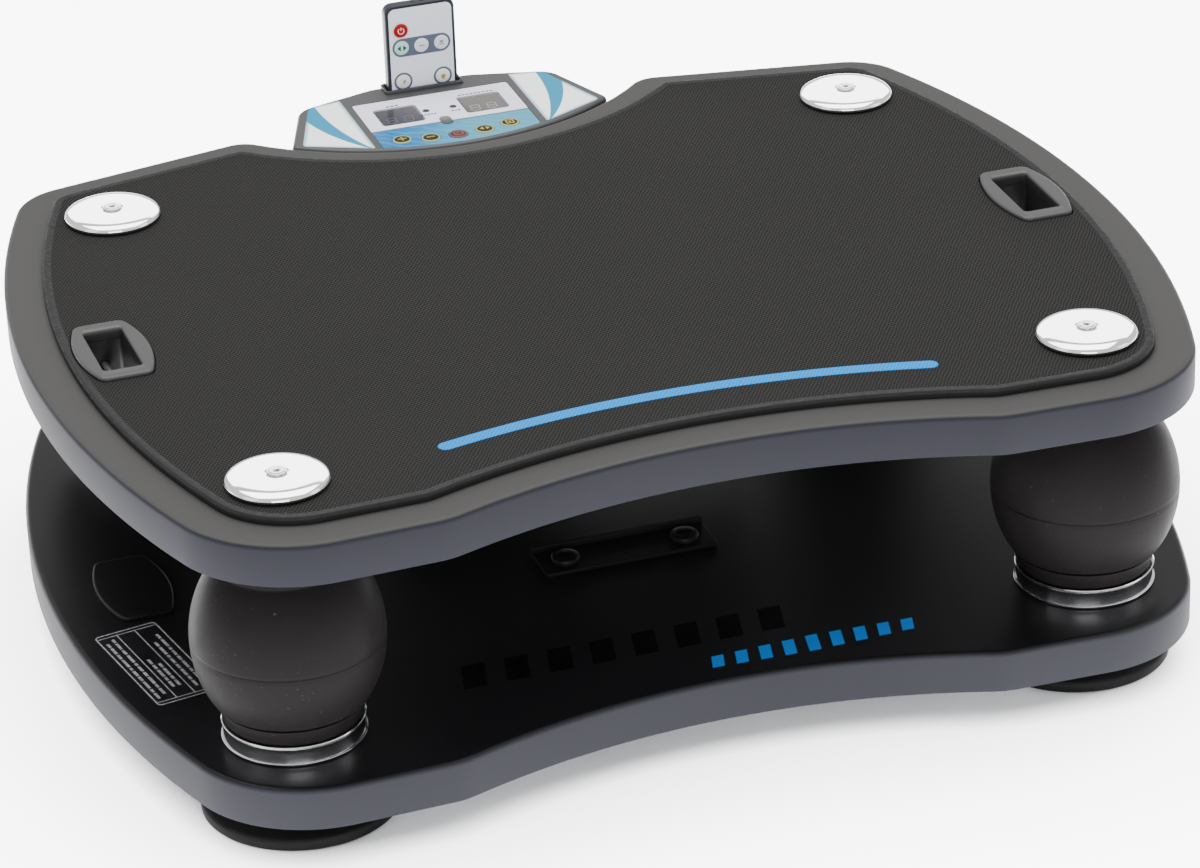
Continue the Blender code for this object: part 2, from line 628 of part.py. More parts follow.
def make_deck():
    """The upper shell and the steel pan that carries the bulbs and the motor."""
    bm = shell(plate_outline, DECK_LOW, DECK_TOP, WALL, ROOF, 3)
    top = as_object("deck_shell", bm, "deck_grey", deck)
    pan = as_object("deck_pan", prism(plate_outline(WALL + 0.4), PAN_LOW, PAN_TOP), "zinc_plate", deck)
    for side, _ in HANDS:
        sleeve = (SLOT_HALF_W + SLEEVE_WALL + 0.4, SLOT_HALF_L + SLEEVE_WALL + 0.4)
        outline = rect(*sleeve, 0, side * ANCHOR_X, ANCHOR_Y)
        for piece in (top, pan):
            boolean(piece, prism(outline, DECK_LOW - 2, DECK_TOP + 2))
    for _, x, y in four_corners(SUPPORT_X, SUPPORT_Y):
        for piece in (top, pan):
            hole = disc(SCREW_HOLE_R, DECK_LOW - 2, DECK_TOP + 2, 0, 12)
            boolean(piece, hole, "DIFFERENCE", (x, y, 0))


def stripe_outline(grow=0.0):
    """The long curved stripe near the mat's front edge, with round ends."""
    half_w = STRIPE_HALF_W + grow
    centre, r = circle_through(STRIPE_ENDS[0], STRIPE_MID, STRIPE_ENDS[1])
    ends = [math.atan2(y - centre[1], x - centre[0]) for x, y in STRIPE_ENDS]
    out = []
    for i in range(17):
        a = ends[0] + (ends[1] - ends[0]) * i / 16
        out.append((centre[0] + (r + half_w) * math.cos(a), centre[1] + (r + half_w) * math.sin(a)))
    right = (centre[0] + r * math.cos(ends[1]), centre[1] + r * math.sin(ends[1]))
    for i in range(1, 5):
        a = ends[1] - math.pi * i / 5
        out.append((right[0] + half_w * math.cos(a), right[1] + half_w * math.sin(a)))
    for i in range(17):
        a = ends[1] + (ends[0] - ends[1]) * i / 16
        out.append((centre[0] + (r - half_w) * math.cos(a), centre[1] + (r - half_w) * math.sin(a)))
    left = (centre[0] + r * math.cos(ends[0]), centre[1] + r * math.sin(ends[0]))
    for i in range(1, 5):
        a = ends[0] + math.pi - math.pi * i / 5
        out.append((left[0] + half_w * math.cos(a), left[1] + half_w * math.sin(a)))
    return out[::-1]


def make_mat():
    """The rubber mat and the coloured stripe let into it."""
    loops = [level(plate_outline(MAT_INSET), MAT_LOW), level(plate_outline(MAT_INSET), MAT_TOP - 1)]
    loops.append(level(plate_outline(MAT_INSET + 1), MAT_TOP))
    mat = as_object("deck_mat", loft(loops), "mat_rubber", deck)
    for side, _ in HANDS:
        size = (ANCHOR_HALF_W + 0.5, ANCHOR_END_W + 0.5, ANCHOR_HALF_L + 0.5)
        outline = barrel(*size, side * ANCHOR_X, ANCHOR_Y)
        boolean(mat, prism(outline, MAT_LOW - 2, MAT_TOP + 2))
    for _, x, y in four_corners(SUPPORT_X, SUPPORT_Y):
        hole = disc(SCREW_HOLE_R, MAT_LOW - 2, MAT_TOP + 2, 0, 12)
        boolean(mat, hole, "DIFFERENCE", (x, y, 0))
    boolean(mat, prism(stripe_outline(GAP), MAT_TOP - 1, MAT_TOP + 2))
    stripe = prism(stripe_outline(), MAT_TOP - 1 + GAP, MAT_TOP + 0.3)
    as_object("grip_stripe", stripe, "sky_blue", deck)


def make_caps():
    """A chrome cap and its long screw over each bulb."""
    hole = SCREW_HOLE_R
    cap = [(hole, CAP_LOW), (CAP_R - 0.8, CAP_LOW), (CAP_R, CAP_LOW + 0.8), (CAP_R, CAP_LOW + 1.6)]
    cap += [(CAP_R - 1.4, CAP_TOP - 1.5), (CAP_R - 4.5, CAP_TOP - 0.45), (CAP_R - 9, CAP_TOP), (hole, CAP_TOP)]
    head = CAP_TOP + GAP
    screw = [(0, SCREW_LOW), (SCREW_R, SCREW_LOW), (SCREW_R, head), (SCREW_HEAD_R, head)]
    screw += [(SCREW_HEAD_R, head + 0.4), (SCREW_HEAD_R - 0.8, head + 1), (SCREW_RECESS_R, head + 1)]
    screw += [(SCREW_RECESS_R, head + 0.2), (0, head + 0.2)]
    for place, x, y in four_corners(SUPPORT_X, SUPPORT_Y):
        as_object("cap_" + place, lathe(cap, ring=True), "chrome", deck, (x, y, 0))
        as_object("cap_screw_" + place, lathe(screw, 12), "steel", deck, (x, y, 0))


def make_strap_anchors():
    """At each side, a framed slot through the deck with a steel bar across it for a strap."""
    for side, hand in HANDS:
        x = side * ANCHOR_X
        outline = barrel(ANCHOR_HALF_W, ANCHOR_END_W, ANCHOR_HALF_L, x, ANCHOR_Y)
        frame = as_object("strap_frame_" + hand, prism(outline, DECK_TOP + GAP, ANCHOR_TOP), "deck_grey", deck)
        sleeve = rect(SLOT_HALF_W + SLEEVE_WALL, SLOT_HALF_L + SLEEVE_WALL, 0, x, ANCHOR_Y)
        boolean(frame, prism(sleeve, SLEEVE_LOW, DECK_TOP + 1), "UNION")
        slot = rect(SLOT_HALF_W, SLOT_HALF_L, 0, x, ANCHOR_Y)
        boolean(frame, prism(slot, SLEEVE_LOW - 2, ANCHOR_TOP + 2))
        reach = SLOT_HALF_L - GAP
        bar = disc(STRAP_BAR_R, -reach, reach, 0, 12)
        as_object("strap_bar_" + hand, bar, "steel", deck, (x, ANCHOR_Y, STRAP_BAR_Z), ALONG_Y)


# ---------------------------------------------------------------- motor


def make_motor():
    """The saddle, the motor's tube with the stator inside it, and the two bearing plates."""
    height = (MOTOR_Z + SADDLE_RISE, PAN_LOW - GAP)
    depth = (MOTOR_Y - SADDLE_HALF_D, MOTOR_Y + SADDLE_HALF_D)
    saddle = block((-SADDLE_HALF_W, SADDLE_HALF_W), depth, height)
    saddle = as_object("motor_saddle", saddle, "zinc_plate", deck)
    bed = disc(MOTOR_R + GAP, -SADDLE_HALF_W - 10, SADDLE_HALF_W + 10, 0, 32)
    boolean(saddle, bed, "DIFFERENCE", (0, MOTOR_Y, MOTOR_Z), ALONG_X)
    axis = empty("motor_axis", deck, (0, MOTOR_Y, MOTOR_Z))
    stator_r, stator_half = CORE_R + 1, CORE_HALF_L + 1
    profile = [(MOTOR_R, -MOTOR_HALF_L), (MOTOR_R, MOTOR_HALF_L), (MOTOR_BORE, MOTOR_HALF_L)]
    profile += [(MOTOR_BORE, stator_half), (stator_r, stator_half), (stator_r, -stator_half)]
    profile += [(MOTOR_BORE, -stator_half), (MOTOR_BORE, -MOTOR_HALF_L)]
    as_object("motor_housing", lathe(profile, 32, ring=True), "cast_iron", axis, turn=ALONG_X)
    seat = MOTOR_BORE - GAP
    for side, hand in HANDS:
        plate = tube(seat, SHAFT_R + GAP, -BEARING_W / 2, BEARING_W / 2)
        as_object("bearing_plate_" + hand, plate, "cast_iron", axis, (side * BEARING_X, 0, 0), ALONG_X)
    rotor = empty("rotor", axis)
    shaft = [(0, -SHAFT_HALF_L), (SHAFT_R, -SHAFT_HALF_L), (SHAFT_R, -CORE_HALF_L), (CORE_R, -CORE_HALF_L)]
    shaft += [(r, -z) for r, z in reversed(shaft)]
    as_object("rotor_shaft", lathe(shaft), "steel", rotor, turn=ALONG_X)
    for side, hand in HANDS:
        weight = as_object("eccentric_weight_" + hand, weight_solid(), "cast_iron", rotor, (side * WEIGHT_X, 0, 0))
        bore = disc(SHAFT_R + GAP, -WEIGHT_W, WEIGHT_W, 0, ROUND)
        boolean(weight, bore, "DIFFERENCE", (side * WEIGHT_X, 0, 0), ALONG_X)


def weight_solid():
    """Half a disc below the shaft, with a hub that closes round it above."""
    low = [(WEIGHT_R * math.cos(a), WEIGHT_R * math.sin(a)) for a in (math.pi * (1 + i / 12) for i in range(13))]
    high = [(HUB_R * math.cos(a), HUB_R * math.sin(a)) for a in (math.pi * i / 8 for i in range(9))]
    return loft([[(x, y, z) for y, z in low + high] for x in (-WEIGHT_W / 2, WEIGHT_W / 2)])


make_base()
make_base_fittings()
make_supports()
make_column()
make_rocker()
make_pod()
make_remote()
make_deck()
make_mat()
make_caps()
make_strap_anchors()
make_motor()
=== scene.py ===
import math

import bpy
import numpy as np
from mathutils import Matrix, Vector


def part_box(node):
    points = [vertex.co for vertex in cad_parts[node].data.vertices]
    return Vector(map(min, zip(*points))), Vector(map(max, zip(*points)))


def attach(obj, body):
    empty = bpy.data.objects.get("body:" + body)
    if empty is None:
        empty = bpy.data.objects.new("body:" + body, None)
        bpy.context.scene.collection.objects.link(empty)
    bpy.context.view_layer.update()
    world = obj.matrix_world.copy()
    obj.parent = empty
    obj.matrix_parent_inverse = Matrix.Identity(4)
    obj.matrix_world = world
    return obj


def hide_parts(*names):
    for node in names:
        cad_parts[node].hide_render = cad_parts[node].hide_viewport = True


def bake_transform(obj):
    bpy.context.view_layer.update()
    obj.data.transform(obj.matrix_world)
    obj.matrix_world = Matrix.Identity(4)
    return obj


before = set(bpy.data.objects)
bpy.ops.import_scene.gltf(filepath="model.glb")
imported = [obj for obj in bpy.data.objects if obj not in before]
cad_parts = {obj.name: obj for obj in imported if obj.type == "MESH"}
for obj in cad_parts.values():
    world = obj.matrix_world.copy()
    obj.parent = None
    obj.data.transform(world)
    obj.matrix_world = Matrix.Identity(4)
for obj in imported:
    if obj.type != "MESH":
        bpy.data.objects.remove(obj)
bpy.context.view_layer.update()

# ---------------------------------------------------------------- Camera and studio
# A long lens looks down on the front left corner, and four soft boxes light a white room. The
# pale floor has an overhead light of its own, and a card behind shines on the caps alone.

MM = 0.001
front_cap, rear_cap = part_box("cap_front_left"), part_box("cap_rear_left")
MID_Y = (front_cap[0].y + rear_cap[1].y) / 2
RIM_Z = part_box("deck_shell")[1].z

AZIMUTH, ELEVATION, ROLL = (math.radians(degrees) for degrees in (-17.74, 26.69, -2.127))
AIM = Vector((-0.0440, MID_Y - 0.1667, RIM_Z))
DISTANCE, LENS, SHIFT_X, FAR = 2.3503, 148.48, -0.0059, 30

back = Vector(
    (
        math.sin(AZIMUTH) * math.cos(ELEVATION),
        -math.cos(AZIMUTH) * math.cos(ELEVATION),
        math.sin(ELEVATION),
    )
)
right = Vector((0, 0, 1)).cross(back).normalized()
up = back.cross(right)
turned_right = right * math.cos(ROLL) + up * math.sin(ROLL)
turned_up = up * math.cos(ROLL) - right * math.sin(ROLL)

camera = bpy.data.objects.new("camera", bpy.data.cameras.new("camera"))
camera.data.sensor_width, camera.data.lens = 36, LENS
camera.data.shift_x, camera.data.clip_end = SHIFT_X, FAR
facing = Matrix((turned_right, turned_up, back)).transposed()
camera.matrix_world = Matrix.Translation(AIM + back * DISTANCE) @ facing.to_4x4()
bpy.context.scene.collection.objects.link(camera)
bpy.context.scene.camera = camera


class Value:
    """A shader socket that takes part in ordinary sums."""

    def __init__(self, finish, socket):
        self.finish, self.socket = finish, socket

    def math(self, operation, *others):
        inputs = {i: v for i, v in enumerate((self, *others))}
        return self.finish.node("Math", {"operation": operation}, inputs)

    def __add__(self, other):
        return self.math("ADD", other)

    def __sub__(self, other):
        return self.math("SUBTRACT", other)

    def __rsub__(self, other):
        return self.finish.node("Math", {"operation": "SUBTRACT"}, {0: other, 1: self})

    def __mul__(self, other):
        return self.math("MULTIPLY", other)

    def __truediv__(self, other):
        return self.math("DIVIDE", other)

    def __abs__(self):
        return self.math("ABSOLUTE")

    def sine(self):
        return self.math("SINE")

    def least(self, other):
        return self.math("MINIMUM", other)

    def most(self, other):
        return self.math("MAXIMUM", other)

    def ramp(self, low, high, start=0.0, end=1.0):
        """Runs smoothly from start to end as the value goes from low to high."""
        settings = {"interpolation_type": "SMOOTHSTEP"}
        inputs = {"Value": self, "From Min": low, "From Max": high, "To Min": start, "To Max": end}
        return self.finish.node("MapRange", settings, inputs)

    __radd__ = __add__
    __rmul__ = __mul__


class Finish:
    """A material under construction: one Principled surface and the nodes that feed it."""

    def __init__(self, name, colour=(0, 0, 0), roughness=0.5, metallic=0.0, specular=0.5):
        self.material = bpy.data.materials.new(name)
        self.material.use_nodes = True
        self.tree = self.material.node_tree
        self.shader = self.tree.nodes["Principled BSDF"]
        self.spot = self.node("TexCoord", out="Object")
        self.set("Base Color", colour)
        self.set("Roughness", roughness)
        self.set("Metallic", metallic)
        self.set("Specular IOR Level", specular)

    def feed(self, socket, value):
        """Links a socket to a value of the sums, or sets it to a constant."""
        if isinstance(value, Value):
            self.tree.links.new(value.socket, socket)
        elif socket.type == "RGBA":
            socket.default_value = (*value[:3], 1)
        else:
            socket.default_value = value

    def set(self, name, value):
        self.feed(self.shader.inputs[name], value)

    def node(self, kind, settings=None, inputs=None, out=0):
        """Makes one node: its settings first, then the values or links of its sockets."""
        made = self.tree.nodes.new("ShaderNode" + kind)
        for key, value in (settings or {}).items():
            setattr(made, key, value)
        for key, value in (inputs or {}).items():
            self.feed(made.inputs[key], value)
        return Value(self, made.outputs[out])

    def mix(self, factor, a, b):
        """A colour between a and b."""
        return self.node("Mix", {"data_type": "RGBA"}, {0: factor, 6: a, 7: b}, 2)

    def axes(self):
        """The plate's own x, y and z in millimetres."""
        x, y, z = (self.node("SeparateXYZ", None, {0: self.spot}, i) / MM for i in range(3))
        return x, y - MID_Y / MM, z

    def noise(self, scale, detail=2, roughness=0.5, at=None):
        """Cloudy values about 0.5, over the object coordinates unless at says otherwise."""
        inputs = {"Vector": at or self.spot, "Scale": scale}
        return self.node("TexNoise", None, {**inputs, "Detail": detail, "Roughness": roughness})

    def streaks(self, stretch):
        """Noise drawn out along the axes that stretch makes small."""
        settings, inputs = {"operation": "MULTIPLY"}, {0: self.spot, 1: stretch}
        return self.noise(1, at=self.node("VectorMath", settings, inputs))

    def wear(self, cloud, smooth, rough):
        """Lets the roughness wander from smooth to rough over the middle of a noise."""
        self.set("Roughness", cloud.ramp(0.3, 0.7, smooth, rough))

    def bump(self, height, distance, strength=0.5):
        """Raises the surface by height, in metres times distance."""
        inputs = {"Height": height, "Distance": distance, "Strength": strength}
        self.set("Normal", self.node("Bump", None, inputs))


def mottled(name, low, high, scale, roughness=0.4, detail=2, specular=0.12):
    """A plain finish whose colour wanders between low and high over a noise.

    A roughness given as a pair wanders with it.
    """
    made = Finish(name, roughness=0.5, specular=specular)
    cloud = made.noise(scale, detail)
    made.set("Base Color", made.mix(cloud, low, high))
    if isinstance(roughness, tuple):
        made.wear(cloud, *roughness)
    else:
        made.set("Roughness", roughness)
    return made


def paint(thing, finish):
    """Gives an object one finish."""
    thing.data.materials.clear()
    thing.data.materials.append(finish.material)
    return thing


FLOOR_HALF, FLOOR_DROP = 6, 0.0002
floor_mesh = bpy.data.meshes.new("floor")
floor_signs = ((-1, -1), (1, -1), (1, 1), (-1, 1))
floor_corners = [(x * FLOOR_HALF, y * FLOOR_HALF, 0) for x, y in floor_signs]
floor_mesh.from_pydata(floor_corners, [], [(0, 1, 2, 3)])
floor = bpy.data.objects.new("floor", floor_mesh)
floor.location.z = -FLOOR_DROP
bpy.context.scene.collection.objects.link(floor)
paint(floor, Finish("pale_floor", (0.86, 0.86, 0.86), 0.55))

world = bpy.data.worlds.new("room")
bpy.context.scene.world = world
world.use_nodes = True
world.node_tree.nodes["Background"].inputs["Color"].default_value = (1, 1, 1, 1)
world.node_tree.nodes["Background"].inputs["Strength"].default_value = 1.1


def soft_box(name, place, aim, size, power):
    """A rectangular area light at place, turned to face aim."""
    light = bpy.data.lights.new(name, "AREA")
    light.shape = "RECTANGLE"
    light.size, light.size_y = size
    light.energy = power
    made = bpy.data.objects.new(name, light)
    made.location = place
    made.rotation_euler = (Vector(aim) - Vector(place)).to_track_quat("-Z", "Y").to_euler()
    bpy.context.scene.collection.objects.link(made)
    return made


def only(light, name, *things):
    """Lets a light fall on the given objects alone."""
    light.light_linking.receiver_collection = bpy.data.collections.new(name)
    for thing in things:
        light.light_linking.receiver_collection.objects.link(thing)


for name, place, size, power in (
    ("top_box", (0.1, 0.5, 2.2), (2.4, 1.6), 80),
    ("left_box", (-2.2, -0.6, 1.3), (1.2, 1.6), 6),
    ("right_box", (2.2, -0.9, 1.2), (1.0, 1.4), 9),
    ("front_box", (-0.6, -2.6, 1.0), (1.6, 1.0), 24),
):
    soft_box(name, place, (0, 0, 0.1), size, power)
rear_card = soft_box("rear_card", (0.85, 2.6, 1.6), (0, 0, 0.15), (3.4, 1.7), 110)
only(soft_box("sweep_light", (0, 0, 3.2), (0, 0, 0), (6, 6), 1900), "sweep_only", floor)

# ---------------------------------------------------------------- Deck shell
# The upper moulding: a stiff glass-filled plastic tray, open below, with a waisted outline.
# Its rim is slate grey down the sides, with a small round edge; its top is sanded satin, painted
# lighter grey as painted light where light falls on it.

FRONT_MID, FRONT_SHOULDER, FRONT_CORNER = (0, -195), (138, -221), (238, -224)
SIDE_MID, REAR_CORNER = (284.5, 45), (241, 218.5)
REAR_PEAK, REAR_MID = (113, 244), (0, 193)
CORNER_RADII = (40, 65, 34, 17)
BASE_REAR_RADIUS = 160
WALL = 3.0


def circle_through(a, b, c):
    """Centre and radius of the circle through three points: where two of their bisectors meet."""
    a, b, c = (np.array(p, float) for p in (a, b, c))
    m = 2 * np.array([b - a, c - a])
    centre = np.linalg.solve(m, np.array([b @ b - a @ a, c @ c - a @ a]))
    return centre, float(np.hypot(*(a - centre)))


def sweep(centre, start, end, count):
    """An arc from start to end about centre, the short way: centre + r (cos t, sin t)."""
    a, b = (math.atan2(*(np.array(p) - centre)[::-1]) for p in (start, end))
    turn = (b - a + math.pi) % (2 * math.pi) - math.pi
    t = a + turn * np.linspace(0, 1, count)
    radius = np.hypot(*(np.array(start) - centre))
    return np.column_stack([centre[0] + radius * np.cos(t), centre[1] + radius * np.sin(t)])


def hollow(mid, end):
    """Centre and radius of the arc that bows from mid to end and mirrors in X."""
    rise = end[1] - mid[1]
    radius = (end[0] ** 2 + rise**2) / (2 * rise)
    return np.array([0, mid[1] + radius]), abs(radius)


def plate_outline(inset=0.0, notched=True):
    """The plate's edge moved inwards by inset, counter-clockwise.

    Each stretch is a line or an arc. A corner of radius r between two stretches turns about
    the point that lies r inside both, and starts and ends at that point's foot on each.
    """
    side_centre, side_radius = circle_through(FRONT_CORNER, SIDE_MID, REAR_CORNER)
    front = (*hollow(FRONT_MID, FRONT_SHOULDER), -1)
    rear = (*hollow(REAR_MID, REAR_PEAK), -1)
    side = (side_centre, side_radius, 1)
    shoulder = (np.array(FRONT_SHOULDER, float), np.array(FRONT_CORNER, float))
    slope = (np.array(REAR_CORNER, float), np.array(REAR_PEAK, float))

    def corner(line, arc, near, r):
        r = max(r - inset, 2)
        along = (line[1] - line[0]) / np.hypot(*(line[1] - line[0]))
        inward = np.array([-along[1], along[0]])
        start = line[0] + inward * (inset + r)
        foot = start + along * ((arc[0] - start) @ along)
        reach = math.sqrt((arc[1] - arc[2] * (inset + r)) ** 2 - ((foot - arc[0]) ** 2).sum())
        ends = [foot + along * reach, foot - along * reach]
        turn = min(ends, key=lambda p: np.hypot(*(p - near)))
        out = (turn - arc[0]) / np.hypot(*(turn - arc[0]))
        return turn, turn - inward * r, arc[0] + out * (arc[1] - arc[2] * inset)

    c0, line0, arc0 = corner(shoulder, front, FRONT_SHOULDER, CORNER_RADII[0])
    c1, line1, arc1 = corner(shoulder, side, FRONT_CORNER, CORNER_RADII[1])
    c2, line2, arc2 = corner(slope, side, REAR_CORNER, CORNER_RADII[2])
    half = [sweep(front[0], (0, FRONT_MID[1] + inset), arc0, 40)]
    half += [sweep(c0, arc0, line0, 12)[1:], sweep(c1, line1, arc1, 30)]
    half += [sweep(side[0], arc1, arc2, 60)[1:], sweep(c2, arc2, line2, 20)[1:]]
    if notched:
        c3, line3, arc3 = corner(slope, rear, REAR_PEAK, CORNER_RADII[3])
        half += [sweep(c3, line3, arc3, 16)]
        half += [sweep(rear[0], arc3, (0, REAR_MID[1] - inset), 40)[1:]]
    else:
        along = (slope[1] - slope[0]) / np.hypot(*(slope[1] - slope[0]))
        inward = np.array([-along[1], along[0]])
        start = slope[0] + inward * BASE_REAR_RADIUS
        centre = start - along * start[0] / along[0]
        radius = BASE_REAR_RADIUS - inset
        half += [sweep(centre, centre - inward * radius, centre + (0, radius), 24)]
    half = np.concatenate(half)
    return np.concatenate([half, (half * (-1, 1))[-2:0:-1]])


def quarter(inset, z, radius, steps=6):
    """(inset, z) pairs of a round edge that ends radius further in and radius higher."""
    t = np.linspace(0, math.pi / 2, steps)
    return [(inset + radius * (1 - math.cos(a)), z + radius * math.sin(a)) for a in t]


def surface(name, rows, ring=False, wrap=True, flat=40, move=(0, MID_Y / MM, 0)):
    """A mesh over a grid of points rows[i, j], in millimetres.

    Each point joins the next in its row, round again where wrap is set, and the one in the
    next row. The first and last rows are filled, or joined to each other where ring is set.
    """
    rows = (np.asarray(rows, float) + move) * MM
    count, length = rows.shape[:2]
    index = np.arange(count * length).reshape(count, length)
    if ring:
        index = np.vstack([index, index[:1]])
    if wrap:
        index = np.hstack([index, index[:, :1]])
    faces = np.stack([index[:-1, :-1], index[:-1, 1:], index[1:, 1:], index[1:, :-1]], -1)
    faces = faces.reshape(-1, 4).tolist()
    if not ring and wrap:
        faces += [list(range(length))[::-1], list(range((count - 1) * length, count * length))]
    mesh = bpy.data.meshes.new(name)
    mesh.from_pydata(rows.reshape(-1, 3).tolist(), [], faces)
    mesh.validate()
    turn_out(mesh)
    mesh.shade_smooth()
    mesh.set_sharp_from_angle(angle=math.radians(flat))
    made = bpy.data.objects.new(name, mesh)
    bpy.context.scene.collection.objects.link(made)
    return made


def turn_out(mesh):
    """Turns a closed mesh's faces outwards where its signed volume is negative."""
    mesh.calc_loop_triangles()
    corners = np.empty(len(mesh.loop_triangles) * 3, np.int32)
    mesh.loop_triangles.foreach_get("vertices", corners)
    points = np.empty(len(mesh.vertices) * 3, np.float32)
    mesh.vertices.foreach_get("co", points)
    a, b, c = points.reshape(-1, 3)[corners.reshape(-1, 3)].astype(float).transpose(1, 0, 2)
    if np.einsum("ij,ij->i", a, np.cross(b, c)).sum() < 0:
        mesh.flip_normals()


def level(outline, z):
    """An outline in x and y, set at one z."""
    return np.column_stack([outline, np.full(len(outline), z)])


def carried(profile, path=plate_outline):
    """Rows of a wall whose (inset, z) profile is carried round a closed path."""
    return np.array([level(path(i), z) for i, z in profile])


def cut(thing, cutters, operation="DIFFERENCE"):
    """Cuts closed shapes from an object and removes them afterwards."""
    for cutter in cutters:
        modifier = thing.modifiers.new("cut", "BOOLEAN")
        modifier.operation = operation
        modifier.solver = "EXACT"
        modifier.object = cutter
    bpy.context.view_layer.update()
    graph = bpy.context.evaluated_depsgraph_get()
    mesh = bpy.data.meshes.new_from_object(thing.evaluated_get(graph))
    thing.modifiers.clear()
    thing.data = mesh
    mesh.shade_smooth()
    mesh.set_sharp_from_angle(angle=math.radians(40))
    for cutter in cutters:
        bpy.data.objects.remove(cutter)
    return thing


def part(thing, finish, body, *nodes, slot=None):
    """Finishes a piece: its material, the body it rides on and the CAD nodes it stands for."""
    paint(thing, finish)
    if body:
        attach(thing, body)
    if nodes:
        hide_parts(*nodes)
    return thing


def rounded_rect(half_w, half_d, r, x=0.0, y=0.0, count=8):
    """A rectangle with round corners: a quarter circle about each corner's own centre."""
    t = np.linspace(0, math.pi / 2, count)
    out = []
    for k, (sx, sy) in enumerate(((1, 1), (-1, 1), (-1, -1), (1, -1))):
        arc = r * np.column_stack([np.cos(t + k * math.pi / 2), np.sin(t + k * math.pi / 2)])
        out.append(arc + (sx * (half_w - r), sy * (half_d - r)))
    return np.concatenate(out) + (x, y)


def prism(name, outline, low, high):
    """A straight column over an outline."""
    return surface(name, [level(outline, z) for z in (low, high)])


def heights(node):
    """A CAD node's lowest and highest z, in millimetres."""
    return [v.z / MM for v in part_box(node)]


SHELL_LOW, SHELL_TOP = heights("deck_shell")
SLOT_X, SLOT_Y = 243.5, 4
SLEEVE = (12.2, 25.4)


def shell_rows(low, top, path, edge=3.0, roof=3.0, wall=WALL):
    """A tray, open below: ceiling, inner wall, round lip, outer wall, round edge, top."""
    profile = [(wall + 0.4, top - roof), (wall, top - roof), (wall, low + 1)]
    profile += [(wall - 0.3, low + 0.3), (wall - 1, low)]
    profile += [(1.0, low), (0.4, low + 0.3), (0.1, low + 1)]
    profile += quarter(0.0, top - edge, edge, 8)
    profile += [(edge + 0.5, top)]
    return carried(profile, path)


def painted_light_moulding(name, top_from, top_at, sides, tops, gloss, relief, strength, specular):
    """Moulded plastic with a pair of shades for its sides and a pair for its top, which are
    painted light: lighter where the top is lit, darker where it lies in shade.

    The top's take over as z runs from top_from to top_at, and it is smoother by gloss.
    """
    made = Finish(name, specular=specular)
    x, y, z = made.axes()
    on_top = z.ramp(top_from, top_at)
    # The top's pair differs from the sides' as painted light and shade, not as a second colour.
    fleck, cloud = made.noise(900), made.noise(6, 3)
    dark, light = (made.mix(on_top, side, top) for side, top in zip(sides, tops))
    made.set("Base Color", made.mix(fleck * 0.5 + cloud * 0.5, dark, light))
    made.set("Roughness", cloud.ramp(0.3, 0.7, 0.58, 0.66) - on_top * gloss)
    made.bump(made.noise(1400), relief, strength)
    return made


deck_sides = (0.0095, 0.0096, 0.0135), (0.0122, 0.0124, 0.0170)
# The tops are painted lighter than the sides: painted light on the lit top of the rim.
deck_lit_tops = (0.042, 0.0410, 0.0400), (0.050, 0.0490, 0.0480)
edge = SHELL_TOP - 1.3, SHELL_TOP - 0.3
deck_paint = painted_light_moulding("deck_satin", *edge, deck_sides, deck_lit_tops, 0.2, 0.00006, 0.5, 0.08)

deck = surface("deck_moulding", shell_rows(SHELL_LOW, SHELL_TOP, plate_outline))
slots = []
for hand in (-1, 1):
    hole = rounded_rect(*SLEEVE, 1.5, hand * SLOT_X, SLOT_Y)
    slots.append(prism("slot_cut", hole, SHELL_LOW - 5, SHELL_TOP + 5))
cut(deck, slots)
part(deck, deck_paint, "deck", "deck_shell", slot="deck_grey")

# ---------------------------------------------------------------- Base shell
# The lower moulding from the same tool family: slate grey down the sides, and a satin top painted
# near black, painted shade under the deck.
# It has no hollow at the rear, where the console's column stands on it.


def base_outline(inset=0.0):
    """The base's edge: the plate's, with a plain rear."""
    return plate_outline(inset, notched=False)


BASE_LOW, BASE_TOP = heights("base_shell")

base_sides = (0.0115, 0.0118, 0.0165), (0.0150, 0.0152, 0.0208)
# The tops are painted darker than the sides: painted shade where the deck overhangs the base.
base_shaded_tops = (0.005, 0.005, 0.006), (0.009, 0.009, 0.010)
edge = BASE_TOP - 1.6, BASE_TOP - 0.5
base_paint = painted_light_moulding("base_satin", *edge, base_sides, base_shaded_tops, 0.3, 0.00005, 0.4, 0.13)

base = surface("base_moulding", shell_rows(BASE_LOW, BASE_TOP, base_outline))
part(base, base_paint, "base", "base_shell", slot="base_black")

# ---------------------------------------------------------------- Mat
# One sheet of charcoal rubber with a fine woven grain, bonded to the deck 20 mm inside the rim.
# A smooth moulded border runs round its edge.

MAT_LOW, MAT_TOP = heights("deck_mat")
MAT_INSET, MAT_EDGE, BORDER_ROWS = 20.0, 2.0, 9
STRIPE_ENDS, STRIPE_MID = ((-121, -157.5), (122.5, -163.4)), (1, -144.6)


def barrel(half_w, end_w, half_l, r=5.0, count=14):
    """The strap anchor's outline: short straight ends, bowed long sides and round corners."""
    centre, radius = circle_through((end_w, -half_l), (half_w, 0), (end_w, half_l))
    corner_y = half_l - r
    corner_x = centre[0] + math.sqrt((radius - r) ** 2 - corner_y**2)
    top = np.array([corner_x, corner_y])
    out = (top - centre) / np.hypot(*(top - centre))
    on_side = centre + out * radius
    side = sweep(centre, on_side * (1, -1), on_side, count * 2)
    corner = sweep(top, on_side, top + (0, r), count)[1:]
    half = np.concatenate([side, corner, (corner * (-1, 1))[::-1]])
    far_side = (side * (-1, 1))[::-1][1:]
    return np.concatenate([half, far_side, -corner, (corner * (1, -1))[::-1][:-1]])


